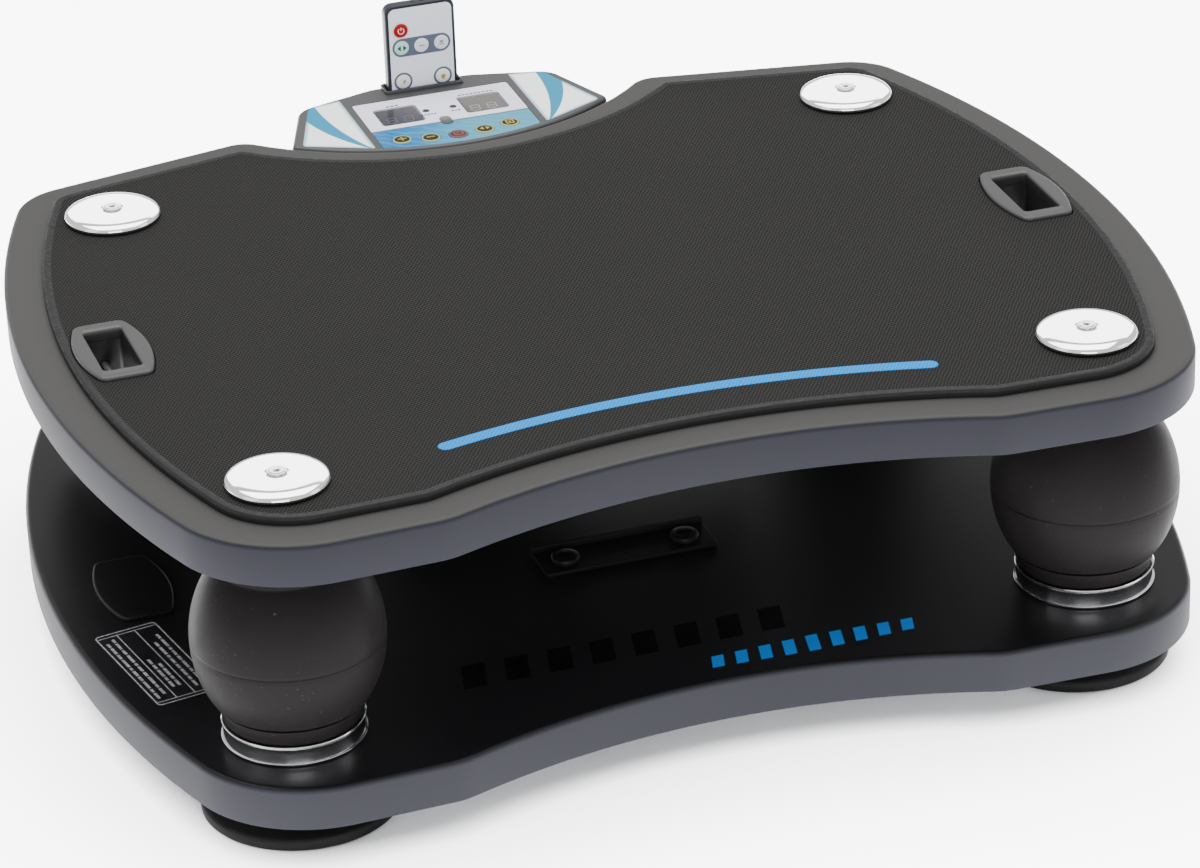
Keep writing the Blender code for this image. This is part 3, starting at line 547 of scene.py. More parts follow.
def stripe_outline(half_w):
    """A band of even width along an arc, with a half circle at each end."""
    centre, radius = circle_through(STRIPE_ENDS[0], STRIPE_MID, STRIPE_ENDS[1])
    left, right = (np.array(end, float) for end in STRIPE_ENDS)
    out = []
    for start, end, r in ((right, left, radius + half_w), (left, right, radius - half_w)):
        arm = [(p - centre) / np.hypot(*(p - centre)) for p in (start, end)]
        out.append(sweep(centre, centre + arm[0] * r, centre + arm[1] * r, 60))
        a = math.atan2(*arm[1][::-1]) + (0 if r > radius else math.pi)
        t = a + np.linspace(0, math.pi, 12)[1:-1]
        out.append(end + half_w * np.column_stack([np.cos(t), np.sin(t)]))
    return np.concatenate(out)


def weave(finish):
    """A woven grain as heights from 0 to 1, and the noise that unsettles it.

    Ribs sin(3.2 x) and sin(2 y) cross, and noise and a slow wave in x push them about.
    """
    x, y, z = finish.axes()
    jitter = finish.noise(260) - 0.5
    ribs = (x * 3.2 + jitter * 2.6).sine()
    ribs = ribs * (y * 2.0 + jitter * 1.8 + (x * 0.8).sine() * 0.8).sine()
    return ribs.ramp(-0.6, 0.7), jitter


mat_rubber = Finish("mat_rubber", specular=0.12)
pebble, jitter = weave(mat_rubber)
tone = mat_rubber.noise(9, 3)
dark = mat_rubber.mix(tone, (0.0035, 0.0034, 0.0032), (0.0050, 0.0048, 0.0047))
light = mat_rubber.mix(tone, (0.0165, 0.0160, 0.0150), (0.0215, 0.0205, 0.0195))
mat_rubber.set("Base Color", mat_rubber.mix(pebble, dark, light))
mat_rubber.set("Roughness", pebble.ramp(0, 1, 0.82, 0.62))
mat_rubber.bump(pebble + jitter * 0.5, 0.00035, 0.8)

mat_border = Finish("mat_border", (0.008, 0.0078, 0.0078), specular=0.2)
mat_border.wear(mat_border.noise(400), 0.45, 0.6)
mat_border.bump(mat_border.noise(900), 0.0001, 0.4)

profile = [(MAT_INSET, MAT_LOW)] + quarter(MAT_INSET, MAT_TOP - MAT_EDGE, MAT_EDGE)
profile += [(MAT_INSET + 3.2, MAT_TOP)]
profile += [(MAT_INSET + inset, MAT_TOP - 0.35) for inset in (3.8, 4.6)]
mat = surface("mat", carried(profile))
for finish in (mat_rubber, mat_border):
    mat.data.materials.append(finish.material)
field = np.zeros(len(mat.data.polygons), np.int32)
field[: BORDER_ROWS * len(plate_outline())] = 1
mat.data.polygons.foreach_set("material_index", field)
holes = []
for hand in (-1, 1):
    around = barrel(19.3, 13.0, 32.5) + (hand * SLOT_X, SLOT_Y)
    holes.append(prism("mat_cut", around, MAT_LOW - 5, MAT_TOP + 5))
holes.append(prism("stripe_cut", stripe_outline(4.2), MAT_TOP - 1.2, MAT_TOP + 5))
cut(mat, holes)
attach(mat, "deck")
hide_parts("deck_mat")

# ---------------------------------------------------------------- Stripe
# A sky-blue rubber strip with the same woven grain, let into a groove along the front. It lies
# a little below the mat's face, with a soft edge.

stripe_rubber = Finish("stripe_rubber", roughness=0.6, specular=0.05)
pebble, jitter = weave(stripe_rubber)
sky = stripe_rubber.mix(pebble, (0.0, 0.170, 0.500), (0.0, 0.260, 0.680))
stripe_rubber.set("Base Color", sky)
stripe_rubber.bump(pebble + jitter * 0.5, 0.0003, 0.8)

STRIPE_TOP = heights("grip_stripe")[1]
profile = ((4.0, -1.0), (4.0, -0.6), (3.8, -0.45), (3.5, -0.4))
rows = [level(stripe_outline(half_w), STRIPE_TOP + rise) for half_w, rise in profile]
part(surface("grip_strip", rows), stripe_rubber, "deck", "grip_stripe", slot="sky_blue")

# ---------------------------------------------------------------- Caps and screws
# Four chromed steel discs on the mat, each over one rubber bulb. A long screw with a hex socket
# runs through the middle of each into the bulb's insert.

PLACES = ("front_left", "front_right", "rear_left", "rear_right")


def middle_of(node):
    """A CAD node's middle, in millimetres."""
    low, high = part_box(node)
    return (low + high) / 2 / MM


def circle(r, x=0.0, y=0.0, count=40):
    """Points (x + r cos t, y + r sin t) round a circle. A list of r gives each point its own."""
    t = np.linspace(0, 2 * math.pi, count, endpoint=False)
    return np.column_stack([x + r * np.cos(t), y + r * np.sin(t)])


def turned(name, profile, place, count=96, **how):
    """A turned piece: each (r, z) of the profile is carried round the upright through place."""
    rows = [level(circle(r, count=count), z) for r, z in profile]
    return surface(name, rows, move=(place[0], place[1], 0), **how)


chrome = Finish("chrome", (0.80, 0.80, 0.81), metallic=1.0)
chrome.set("Roughness", chrome.noise(60, 3).ramp(0.35, 0.75, 0.05, 0.10))
chrome.bump(chrome.noise(25), 0.00003, 0.3)

steel = Finish("plain_steel", (0.52, 0.52, 0.53), metallic=1.0)
drawn = steel.streaks((900, 60, 900))
steel.wear(drawn, 0.22, 0.38)
steel.bump(drawn, 0.00003, 0.3)

CAP_LOW, CAP_TOP = heights("cap_front_left")
CAP_R = (front_cap[1].x - front_cap[0].x) / 2 / MM
DOME_LOW, DOME_REACH = CAP_LOW + 1.6, 9
SCREW_LOW, SCREW_TOP = heights("cap_screw_front_left")
HEX_HALF_KEY = 1.6 * math.cos(math.pi / 6)
turn = np.linspace(0, 2 * math.pi, 48, endpoint=False)
hex_socket = HEX_HALF_KEY / np.cos(turn % (math.pi / 3) - math.pi / 6)
dome = np.linspace(0, math.pi / 2, 16)
dome_r = CAP_R - 0.1 - DOME_REACH * (1 - np.cos(dome))
dome_z = DOME_LOW + (CAP_TOP - DOME_LOW) * np.sin(dome)

disc_rows = [(CAP_R - 6, CAP_LOW), (CAP_R - 0.8, CAP_LOW), (CAP_R - 0.2, CAP_LOW + 0.3)]
disc_rows += [(CAP_R, CAP_LOW + 0.8), (CAP_R, CAP_LOW + 1.5), *zip(dome_r, dome_z)]
disc_rows += [(12, CAP_TOP + 0.02), (6.4, CAP_TOP + 0.02), (6.0, CAP_TOP)]
disc_rows += [(5.8, CAP_TOP - 0.3), (5.8, CAP_TOP - 0.6), (5.4, CAP_TOP - 0.6)]
screw_rows = [(2.4, SCREW_LOW), (3.0, SCREW_LOW + 1), (3.0, CAP_TOP - 0.5)]
screw_rows += [(5.0, CAP_TOP - 0.5), (5.0, SCREW_TOP - 0.9)]
screw_rows += [(5.0 - i, z) for i, z in quarter(0, SCREW_TOP - 0.9, 0.6, 5)]
screw_rows += [(4.0, SCREW_TOP - 0.4), (3.8, SCREW_TOP - 0.1), (3.5, SCREW_TOP), (2.2, SCREW_TOP)]
screw_rows += [(hex_socket, SCREW_TOP - 0.4), (hex_socket, SCREW_TOP - 2), (0.5, SCREW_TOP - 2.2)]

bright = []
for where in PLACES:
    at = middle_of("cap_" + where)
    disc = turned("cap_disc_" + where, disc_rows, at)
    part(disc, chrome, "deck", "cap_" + where, slot="chrome")
    screw = turned("screw_" + where, screw_rows, at, 48)
    part(screw, steel, "deck", "cap_screw_" + where, slot="steel")
    bright += [disc, screw]
only(rear_card, "card_only", *bright)

# ---------------------------------------------------------------- Strap anchors
# At each side a moulded barrel-shaped frame lines a slot through the deck. A steel bar crosses the
# slot low down, for an exercise strap to loop round; the strap is not built.

SLEEVE_LOW, ANCHOR_TOP = heights("strap_frame_left")
MOUTH = (9.8, 23)
ANCHOR_EDGE = 1.4


def upright(outline, y):
    """An outline in x and z, set at one y."""
    return np.column_stack([outline[:, 0], np.full(len(outline), y), outline[:, 1]])


def anchor_outline(inset, at):
    """The strap frame from above, about its own middle, moved inwards by inset."""
    return barrel(18.8 - inset, 12.5 - inset, 32 - inset, 5 - inset / 2) + at


def mouth(grow, r, at):
    """The slot's clear opening, grown outwards all round."""
    return rounded_rect(MOUTH[0] + grow, MOUTH[1] + grow, r, *at)


frame_paint = Finish("anchor_satin", roughness=0.38, specular=0.3)
x, y, z = frame_paint.axes()
cloud = frame_paint.noise(14, 3)
low_shade = frame_paint.mix(cloud, (0.012, 0.012, 0.013), (0.016, 0.016, 0.017))
top_shade = frame_paint.mix(cloud, (0.038, 0.038, 0.038), (0.048, 0.047, 0.046))
# Painted light: the top 2 mm of the frame are painted lighter than its sides and sleeve.
painted_top_light = z.ramp(ANCHOR_TOP - 2.5, ANCHOR_TOP - 0.4)
frame_paint.set("Base Color", frame_paint.mix(painted_top_light, low_shade, top_shade))
frame_paint.bump(frame_paint.noise(1400), 0.00005, 0.4)

bezel_rows = [(0, SHELL_TOP + 0.2)] + quarter(0, ANCHOR_TOP - ANCHOR_EDGE, ANCHOR_EDGE)
bezel_rows += [(1.9, ANCHOR_TOP)]
flare = [(0, SHELL_TOP - 3), (0, ANCHOR_TOP - 1), (0.3, ANCHOR_TOP - 0.4)]
flare += [(0.9, ANCHOR_TOP + 0.1), (0.9, ANCHOR_TOP + 2)]
sleeve_rows = [(2, SLEEVE_LOW), (2, SHELL_TOP), (0, SHELL_TOP), (0, SLEEVE_LOW)]
rod_rows = [upright(circle(r, count=32), y) for r, y in ((2.0, -22.7), (2.5, -22.2))]
rod_rows += [upright(circle(r, count=32), y) for r, y in ((2.5, 22.2), (2.0, 22.7))]
for hand, side in ((-1, "left"), (1, "right")):
    at = np.array([hand * SLOT_X, SLOT_Y])
    node = "strap_frame_" + side
    rows = [level(anchor_outline(inset, at), z) for inset, z in bezel_rows]
    bezel = surface("strap_bezel_" + side, rows)
    cut(bezel, [surface("slot_cut", [level(mouth(g, 2 + g, at), z) for g, z in flare])])
    part(bezel, frame_paint, "deck", node, slot="deck_grey")
    rows = [level(mouth(grow, 2, at), z) for grow, z in sleeve_rows]
    sleeve = surface("strap_sleeve_" + side, rows, ring=True)
    part(sleeve, frame_paint, "deck", node, slot="deck_grey")
    rod = surface("strap_rod_" + side, rod_rows, move=tuple(middle_of("strap_bar_" + side)))
    part(rod, steel, "deck", "strap_bar_" + side, slot="steel")

# ---------------------------------------------------------------- Rubber bulbs and rings
# Four hollow rubber bulbs stand between the plates. Each has a collar that sits in a polished
# steel ring on the base, a round belly with a faint mould seam, and a collar under the deck.

BULB_R, BULB_HALF_H, BULB_MID, SEAM_Z = 47.0, 54.0, 97.0, 96.0
BELLY_LOW, BELLY_HIGH = 64.0, 136.2

bulb_rubber = Finish("bulb_rubber", specular=0.03)
x, y, z = bulb_rubber.axes()
cloud = bulb_rubber.noise(28, 4, 0.6)
dust = bulb_rubber.noise(700).ramp(0.68, 0.78)
# Painted shade: the mould seam's groove is painted near black.
seam_painted_shade = abs(z - SEAM_Z).ramp(0.25, 0.6, 0.75, 0)
shade = bulb_rubber.mix(cloud, (0.0055, 0.0048, 0.0052), (0.0090, 0.0080, 0.0084))
shade = bulb_rubber.mix(seam_painted_shade, shade, (0.001, 0.001, 0.001))
bulb_rubber.set("Base Color", bulb_rubber.mix(dust * 0.5, shade, (0.05, 0.05, 0.05)))
bulb_rubber.wear(cloud, 0.42, 0.56)
bulb_rubber.bump(cloud * 3 + bulb_rubber.noise(900), 0.00012)

ring_steel = Finish("ring_steel", (0.62, 0.62, 0.64), metallic=1.0)
spun = ring_steel.streaks((12, 12, 900))
ring_steel.wear(spun, 0.10, 0.20)
ring_steel.bump(spun, 0.00004, 0.4)

RING_LOW, RING_TOP = heights("bulb_ring_front_left")
BULB_LOW, BULB_TOP = heights("bulb_front_left")
rise = np.linspace(*(math.asin((z - BULB_MID) / BULB_HALF_H) for z in (BELLY_LOW, BELLY_HIGH)), 61)
belly_z = BULB_MID + BULB_HALF_H * np.sin(rise)
belly_r = BULB_R * np.cos(rise) - 0.35 * np.exp(-(((belly_z - SEAM_Z) / 0.7) ** 2))

bulb_rows = [(20, BULB_LOW), (29.6, BULB_LOW), (29.6, RING_TOP + 0.3), (32.8, RING_TOP + 0.3)]
bulb_rows += [(33.4, RING_TOP + 0.9), (33.8, RING_TOP + 2.5), (35.3, 61.0), (35.2, 61.8)]
bulb_rows += [(34.4, 62.2), (32.6, 62.5), (32.6, 63.2), (34.6, 63.5), *zip(belly_r, belly_z)]
bulb_rows += [(32.2, 136.6), (32.2, BULB_TOP - 1), (31.6, BULB_TOP), (20, BULB_TOP)]
ring_rows = [(30.1, RING_LOW), (34.9, RING_LOW), (35.2, RING_LOW + 0.3), (35.2, RING_LOW + 0.9)]
ring_rows += [(34.9, RING_LOW + 1.2), (34.3, RING_LOW + 1.4), (34.2, RING_LOW + 2.2)]
ring_rows += [(34.2, RING_TOP - 1.8), (34.4, RING_TOP - 1.2), (34.8, RING_TOP - 0.9)]
ring_rows += [(34.8, RING_TOP - 0.4), (34.4, RING_TOP), (30.4, RING_TOP), (30.1, RING_TOP - 0.4)]
for where in PLACES:
    at = middle_of("bulb_" + where)
    bulb = turned("bulb_belly_" + where, bulb_rows, at, 128)
    paint(bulb, bulb_rubber)
    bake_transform(bulb)
    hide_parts("bulb_" + where)
    node = "bulb_ring_" + where
    ring = turned("bulb_seat_" + where, ring_rows, middle_of(node), 128, ring=True)
    part(ring, ring_steel, "base", node, slot="chrome")

# ---------------------------------------------------------------- Feet
# Four stepped discs of soft black rubber under the base, with a rounded tread.

foot_black = (0.0036, 0.0032, 0.0036), (0.0064, 0.0058, 0.0064)
foot_rubber = mottled("foot_rubber", *foot_black, 40, 0.6, 3)
foot_rubber.bump(foot_rubber.noise(700, 3), 0.0001)

FOOT_TOP = heights("foot_front_left")[1]
foot_rows = [(40, 0), (46.5, 0), (48, 0.4), (48.8, 1.2), (49, 2.2), (49, 4.2), (48.7, 5.4)]
foot_rows += [(47.8, 6.2), (46, 6.5), (41, 6.9), (39.2, 7.6), (38.6, 9)]
foot_rows += [(37, FOOT_TOP - 0.2), (34, FOOT_TOP - 0.2)]
for where in PLACES:
    foot = turned("foot_pad_" + where, foot_rows, middle_of("foot_" + where), 96)
    part(foot, foot_rubber, "base", "foot_" + where, slot="foot_rubber")

# ---------------------------------------------------------------- Base fittings
# On the base: a bracket with a raised rear lip and two bosses, a blank cover below each strap
# slot, a framed label sticker at the left, and two printed rows of bars at the front.

BRACKET_TOP = heights("centre_bracket")[1]
PAD_TOP = BASE_TOP + 2.3
BRACKET_HALF_W, BRACKET_Y, LIP_Y, BOSS_X, BOSS_Y = 46, -50, -38, 32, -52


def rounded_prism(name, outline_at, low, top, edge, extra=0.5):
    """A column whose top edge is turned by a quarter circle."""
    profile = [(0, low)] + quarter(0, top - edge, edge, 5) + [(edge + extra, top)]
    return surface(name, [level(outline_at(i), z) for i, z in profile])


bracket = rounded_prism(
    "bracket",
    lambda i: rounded_rect(BRACKET_HALF_W - i, 14 - i, 2, 0, BRACKET_Y),
    BASE_TOP + 0.3,
    PAD_TOP,
    0.6,
)
lip = rounded_prism(
    "lip",
    lambda i: rounded_rect(BRACKET_HALF_W - 0.1 - i, 1.9 - i, 0.6, 0, LIP_Y),
    BASE_TOP + 0.6,
    BRACKET_TOP,
    0.5,
    0.1,
)
boss_rows = [(7.5, BASE_TOP + 1), (7.5, BRACKET_TOP - 1.4), (7.1, BRACKET_TOP - 0.5)]
boss_rows += [(6.2, BRACKET_TOP), (4.4, BRACKET_TOP), (4.2, BRACKET_TOP - 0.3)]
boss_rows += [(4.2, BRACKET_TOP - 1.1), (3.8, BRACKET_TOP - 1.1)]
bosses = [turned("boss", boss_rows, (x, BOSS_Y + MID_Y / MM), 48) for x in (-BOSS_X, BOSS_X)]
cut(bracket, [lip, *bosses], "UNION")
part(bracket, base_paint, "base", "centre_bracket", slot="base_black")

for hand, side in ((-1, "left"), (1, "right")):
    at = (hand * SLOT_X, SLOT_Y)
    name = "slot_blank_" + side
    cover = rounded_prism(name, lambda i: anchor_outline(i, at), BASE_TOP + 0.3, PAD_TOP, 1.0)
    part(cover, base_paint, "base", "slot_cover_" + side, slot="base_black")


def prints(name, outlines, low, high, move=(0, MID_Y / MM, 0)):
    """Flat marks: each outline raised from low to high, all in one mesh."""
    points, faces = [], []
    for outline in outlines:
        x, y = outline.T
        if (x * np.roll(y, -1) - y * np.roll(x, -1)).sum() < 0:
            outline = outline[::-1]
        first, n = sum(len(p) for p in points), len(outline)
        k = np.arange(n)
        side = np.column_stack([k, (k + 1) % n, (k + 1) % n + n, k + n]) + first
        faces += side.tolist() + [(k[::-1] + first).tolist(), (k + n + first).tolist()]
        points.append(np.column_stack([np.tile(outline, (2, 1)), np.repeat([low, high], n)]))
    mesh = bpy.data.meshes.new(name)
    mesh.from_pydata(((np.concatenate(points) + move) * MM).tolist(), [], faces)
    turn_out(mesh)
    made = bpy.data.objects.new(name, mesh)
    bpy.context.scene.collection.objects.link(made)
    return made


def bar(x, y, w, h, lean=0.0):
    """A rectangle about (x, y) as four corners, its top moved sideways by lean."""
    corners = [(-w / 2, -h / 2), (w / 2, -h / 2), (w / 2 + lean, h / 2), (-w / 2 + lean, h / 2)]
    return np.array(corners) + (x, y)


def line_frame(half_w, half_d, r, wide):
    """A closed line of even width round a rectangle, as two mirrored halves."""
    outer = rounded_rect(half_w, half_d, r)
    inner = rounded_rect(half_w - wide, half_d - wide, r - wide)
    half = len(outer) // 2
    arcs = [[np.roll(line, k, 0)[: half + 1] for line in (outer, inner)] for k in (0, half)]
    return [np.concatenate([there, back_again[::-1]]) for there, back_again in arcs]


sticker_black = Finish("sticker_black", (0.005, 0.005, 0.007), specular=0.2)
sticker_black.wear(sticker_black.noise(120, 3), 0.3, 0.42)
sticker_print = Finish("sticker_print", specular=0.12)
ink = sticker_print.noise(500).ramp(0.4, 0.6)
ink = sticker_print.mix(ink, (0.26, 0.26, 0.27), (0.42, 0.42, 0.43))
sticker_print.set("Base Color", ink)

LABEL_TILT = math.radians(10)
LABEL_AT, LABEL_HALF = np.array([-251.0, -74.3]), (17.4, 40.6)
LABEL_WORDS = np.array([6, 3.4, 7.5, 4.4, 5.4, 2.6, 8.2, 4.8, 6.4, 3.8, 7, 5])
LABEL_LINES = ((-13, -33, 33), (-9, -30, 34), (-2.2, -26, 8))
LABEL_LINES += ((1, -26, 4), (8, -31, 26), (12, -24, 33))
WORD_GAP, WORD_H = 1.2, 1.5
cosine, sine = math.cos(LABEL_TILT), math.sin(LABEL_TILT)
lay = np.array([[cosine, sine], [-sine, cosine]])
sheet = [rounded_rect(*LABEL_HALF, 3) @ lay + LABEL_AT]
sheet = prints("label_sheet", sheet, BASE_TOP + 0.02, BASE_TOP + 0.12)
part(sheet, sticker_black, "base")
marks = line_frame(LABEL_HALF[0] - 1, LABEL_HALF[1] - 1, 2.6, 0.7)
marks += [bar(0, hand * 36.4, 31, 0.6) for hand in (-1, 1)]
marks += [bar(u, 0, 0.6, 72.6) for u in (-5.4, 4.3)]
for u, first, last in LABEL_LINES:
    starts = first + np.concatenate([[0], np.cumsum(LABEL_WORDS + WORD_GAP)[:-1]])
    keep = starts + LABEL_WORDS < last
    marks += [bar(u, v + w / 2, WORD_H, w) for v, w in zip(starts[keep], LABEL_WORDS[keep])]
marks = [mark @ lay + LABEL_AT for mark in marks]
marks = prints("label_marks", marks, BASE_TOP + 0.12, BASE_TOP + 0.17)
part(marks, sticker_print, "base")

blue_print = mottled("blue_print", (0.0, 0.17, 0.60), (0.0, 0.24, 0.75), 80, detail=3)
gloss_print = Finish("gloss_print", (0.001, 0.001, 0.001), specular=0.06)
gloss_print.wear(gloss_print.noise(90, 3), 0.46, 0.56)
row = [bar(4 + 12.4 * k, -176, 6.2, 15 - 1.1 * abs(k - 4), 3) for k in range(9)]
part(prints("front_bars", row, BASE_TOP + 0.02, BASE_TOP + 0.08), blue_print, "base")
row = [bar(-112 + 22 * k, -145, 12, 22, 5) for k in range(8)]
part(prints("front_gloss_bars", row, BASE_TOP + 0.02, BASE_TOP + 0.06), gloss_print, "base")

# ---------------------------------------------------------------- Console column
# A hollow moulded post behind the deck carries the console. The mains inlet, a socket with three
# pins, and the power rocker sit in its rear wall.

console_grey = (0.040, 0.040, 0.041), (0.050, 0.050, 0.049)
console_satin = mottled("console_satin", *console_grey, 14, (0.36, 0.46), 3, 0.3)
console_satin.bump(console_satin.noise(1400), 0.00006)
plain_black = (0.005, 0.005, 0.0055), (0.010, 0.010, 0.011)
socket_black = mottled("socket_black", *plain_black, 30, (0.32, 0.45), 3, 0.25)
socket_black.bump(socket_black.noise(1500), 0.00004, 0.4)

COLUMN_LOW, COLUMN_HIGH = heights("console_column")
COLUMN_MID, COLUMN_HALF, COLUMN_R = 233.5, (52, 20.5), 10
COLUMN_REAR = COLUMN_MID + COLUMN_HALF[1]
INLET_X, ROCKER_X, SOCKET_Z = -22, 24, 72
ROCKER_BACK, ROCKER_LEAN = 3, math.radians(-8)


def column_ring(inset):
    """The column from above, moved inwards by inset."""
    half_w, half_d = (half - inset for half in COLUMN_HALF)
    return rounded_rect(half_w, half_d, COLUMN_R - inset, 0, COLUMN_MID, 12)


profile = [(3, COLUMN_LOW + 0.4), (2.6, COLUMN_LOW), (0.4, COLUMN_LOW), (0, COLUMN_LOW + 0.4)]
profile += [(0, 91.4), (0.5, 91.8), (0.5, 92.4), (0, 92.8), (0, COLUMN_HIGH - 0.4)]
profile += [(0.4, COLUMN_HIGH), (2.6, COLUMN_HIGH), (3, COLUMN_HIGH - 0.4)]
column = surface("column_post", carried(profile, column_ring), ring=True)
holes = []
for x, half_w, half_h in ((INLET_X, 14, 10.3), (ROCKER_X, 9.8, 7.2)):
    hole = rounded_rect(half_w, half_h, 0.8, x, SOCKET_Z)
    holes.append(surface("socket_cut", [upright(hole, COLUMN_REAR + y) for y in (-6, 2)]))
part(cut(column, holes), console_satin, "base", "console_column", slot="console_grey")

shroud = [(13.5, 9.8, 1, -20), (13.5, 9.8, 1, 0.3), (16, 12.5, 2.5, 0.3), (16, 12.5, 2.5, 2.2)]
shroud += [(15.4, 11.9, 2, 2.9), (14.6, 11.1, 1.5, 3), (12, 8, 1.6, 3)]
shroud += [(11.5, 7.5, 1.5, 2.6), (11.5, 7.5, 1.5, -14)]
rows = [upright(rounded_rect(*shape, INLET_X, SOCKET_Z), COLUMN_REAR + y) for *shape, y in shroud]
part(surface("inlet_shroud", rows), socket_black, "base", "mains_inlet", slot="black_plastic")
pins = []
for x, z in ((-6, -1.5), (6, -1.5), (0, 2.5)):
    outline = rounded_rect(1.0, 2.2, 0.3, INLET_X + x, SOCKET_Z + z)
    pins.append(surface("pin", [upright(outline, COLUMN_REAR + y) for y in (-14.2, -1.4, -0.9)]))
part(cut(pins[0], pins[1:], "UNION"), steel, "base")
pins[0].name = "inlet_pins"

outer, crown, sill, inner = (
    rounded_rect(*shape, ROCKER_X, SOCKET_Z)
    for shape in ((11.4, 8.8, 1.6), (10.9, 8.3, 1.2), (9.7, 7.1, 0.8), (9.3, 6.7, 0.6))
)
bezel = [(inner, -5), (sill, -5), (sill, 0.3), (outer, 0.3), (outer, 1.1)]
bezel += [(crown, 1.6), (inner, 1.6)]
rows = [upright(outline, COLUMN_REAR + y) for outline, y in bezel]
part(surface("rocker_bezel", rows, ring=True), socket_black, "base")

ROCKER_AXIS = np.array([ROCKER_X, COLUMN_REAR - ROCKER_BACK, SOCKET_Z])
t = np.linspace(-1, 1, 25)
face = np.column_stack([3.0 + 1.0 * t**2, 6.0 * t])
side = np.concatenate([face, [(-3, 5), (-3, -5)]])
cosine, sine = math.cos(ROCKER_LEAN), math.sin(ROCKER_LEAN)
side = side @ np.array([[cosine, sine], [-sine, cosine]])
rows = []
for x, shrink in ((-8.9, 0.94), (-8.5, 1), (8.5, 1), (8.9, 0.94)):
    rows.append(np.column_stack([np.full(len(side), x), side * shrink]) + ROCKER_AXIS)
rocker = surface("rocker_key", rows, flat=50)
part(rocker, socket_black, "power_rocker", "power_rocker", slot="black_plastic")

board_green = Finish("board_green")
x, y, z = board_green.axes()
tracks = (x * 1.7).sine().most((z * 1.3 + board_green.noise(30, 1) * 9).sine()).ramp(0.93, 0.97)
board = board_green.mix(tracks, (0.012, 0.085, 0.038), (0.03, 0.17, 0.075))
board_green.set("Base Color", board)
board_green.set("Roughness", tracks.ramp(0, 1, 0.45, 0.3))


def dress(finish, *nodes):
    """Gives CAD nodes that keep their shape a finish."""
    for node in nodes:
        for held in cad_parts[node].material_slots:
            held.material = finish.material


dress(board_green, "control_board")

# ---------------------------------------------------------------- Console housing
# A satin grey cover whose front follows the deck's hollow rear edge. A printed film panel lies in
# a recess between two printed wings: white above, sky blue below, with two display windows.

POD_LOW, POD_TOP = heights("console_housing")
NOTCH_GAP, PANEL_MARGIN, PANEL_HALF_W, PANEL_REAR = 5.0, 3.0, 44.5, 270.5
POD_CORNER, POD_REAR, POD_MID = (90, 229.5), (73, 277.5), (28, 290.5)
REMOTE_Y = 284.5
WINDOW_X, WINDOW_Y, WINDOW_HALF = 24.0, 248, (11.25, 10.75)
LAMP_X = {"left": -8.5, "right": 7}
EYE_X, EYE_Y = -2, 231.5


def rounded(corners, count=10):
    """A polygon with turned corners (x, y, r).

    A corner's arc is centred on its bisector, r / sin(half its angle) away, and touches both
    sides r / tan(half its angle) away.
    """
    out = []
    for k, (x, y, r) in enumerate(corners):
        here = np.array([x, y], float)
        ways = [np.array(corners[j][:2], float) - here for j in (k - 1, (k + 1) % len(corners))]
        a, b = (w / np.hypot(*w) for w in ways)
        half = math.acos(np.clip(a @ b, -1, 1)) / 2
        if not r or half > 1.55:
            out.append([here])
            continue
        middle = here + (a + b) / np.hypot(*(a + b)) * r / math.sin(half)
        reach = r / math.tan(half)
        out.append(sweep(middle, here + a * reach, here + b * reach, count))
    return np.concatenate(out)


def front_arc(half_w, gap, count=41):
    """The deck's rear hollow moved back by gap, between two mirrored places in X."""
    centre, radius = hollow(REAR_MID, REAR_PEAK)
    depth = centre[1] - math.sqrt((radius - gap) ** 2 - half_w**2)
    return sweep(centre, (-half_w, depth), (half_w, depth), count)


def pod_outline(inset=0.0):
    """The console from above, moved inwards by inset."""
    arc = front_arc(POD_CORNER[0] - inset, NOTCH_GAP + inset)
    rear = (POD_REAR[0] - inset * 0.9, POD_REAR[1] - inset * 0.8, 14)
    half = [(*arc[-1], 2), rear, (POD_MID[0], POD_MID[1] - inset, 30)]
    corners = [(*arc[0], 2)] + [(*p, 0) for p in arc[1:-1]] + half
    return rounded(corners + [(-x, y, r) for x, y, r in half[:0:-1]])


def panel_outline(grow=0.0):
    """The printed panel from above: straight sides and rear, and a hollow front."""
    half_w, rear = PANEL_HALF_W + grow, PANEL_REAR + grow
    arc = front_arc(half_w, NOTCH_GAP + PANEL_MARGIN - grow)
    corners = [(*arc[0], 1)] + [(*p, 0) for p in arc[1:-1]] + [(*arc[-1], 1)]
    return rounded(corners + [(half_w, rear, 1.5), (-half_w, rear, 1.5)], 6)


KEY_R, KEY_MID_X, KEY_STEP, KEY_ROW_Y, KEY_BOW = 5.2, -1.5, 15.3, 210.5, 4.5
KEYS = {
    name: (KEY_MID_X + KEY_STEP * k, KEY_ROW_Y + KEY_BOW * (k / 2) ** 2)
    for k, name in zip(range(-2, 3), ("plus", "minus", "power", "mode", "program"))
}


def window_outline(grow, r, hand):
    """A display window from above, grown outwards, at the left (-1) or right (1)."""
    return rounded_rect(WINDOW_HALF[0] + grow, WINDOW_HALF[1] + grow, r, hand * WINDOW_X, WINDOW_Y)


def through(low, high, grow):
    """Cutters for the windows and the keys."""
    cutters = [prism("cut", window_outline(grow, 1.5, hand), low, high) for hand in (-1, 1)]
    rounds = [circle(KEY_R + grow, *at, 48) for at in KEYS.values()]
    return cutters + [prism("cut", outline, low, high) for outline in rounds]


pod = surface("console_cover", shell_rows(POD_LOW, POD_TOP, pod_outline, 2.4, 4.0, 2.5))
cut(pod, [prism("recess", panel_outline(0.25), POD_TOP - 1.4, POD_TOP + 2)])
cut(pod, through(POD_TOP - 8, POD_TOP + 2, 0.4))
hole = rounded_rect(22.6, 7.3, 2, 0, REMOTE_Y)
cut(pod, [prism("holder_cut", hole, POD_LOW - 2, POD_TOP + 2)])
part(pod, console_satin, "base", "console_housing", slot="console_grey")

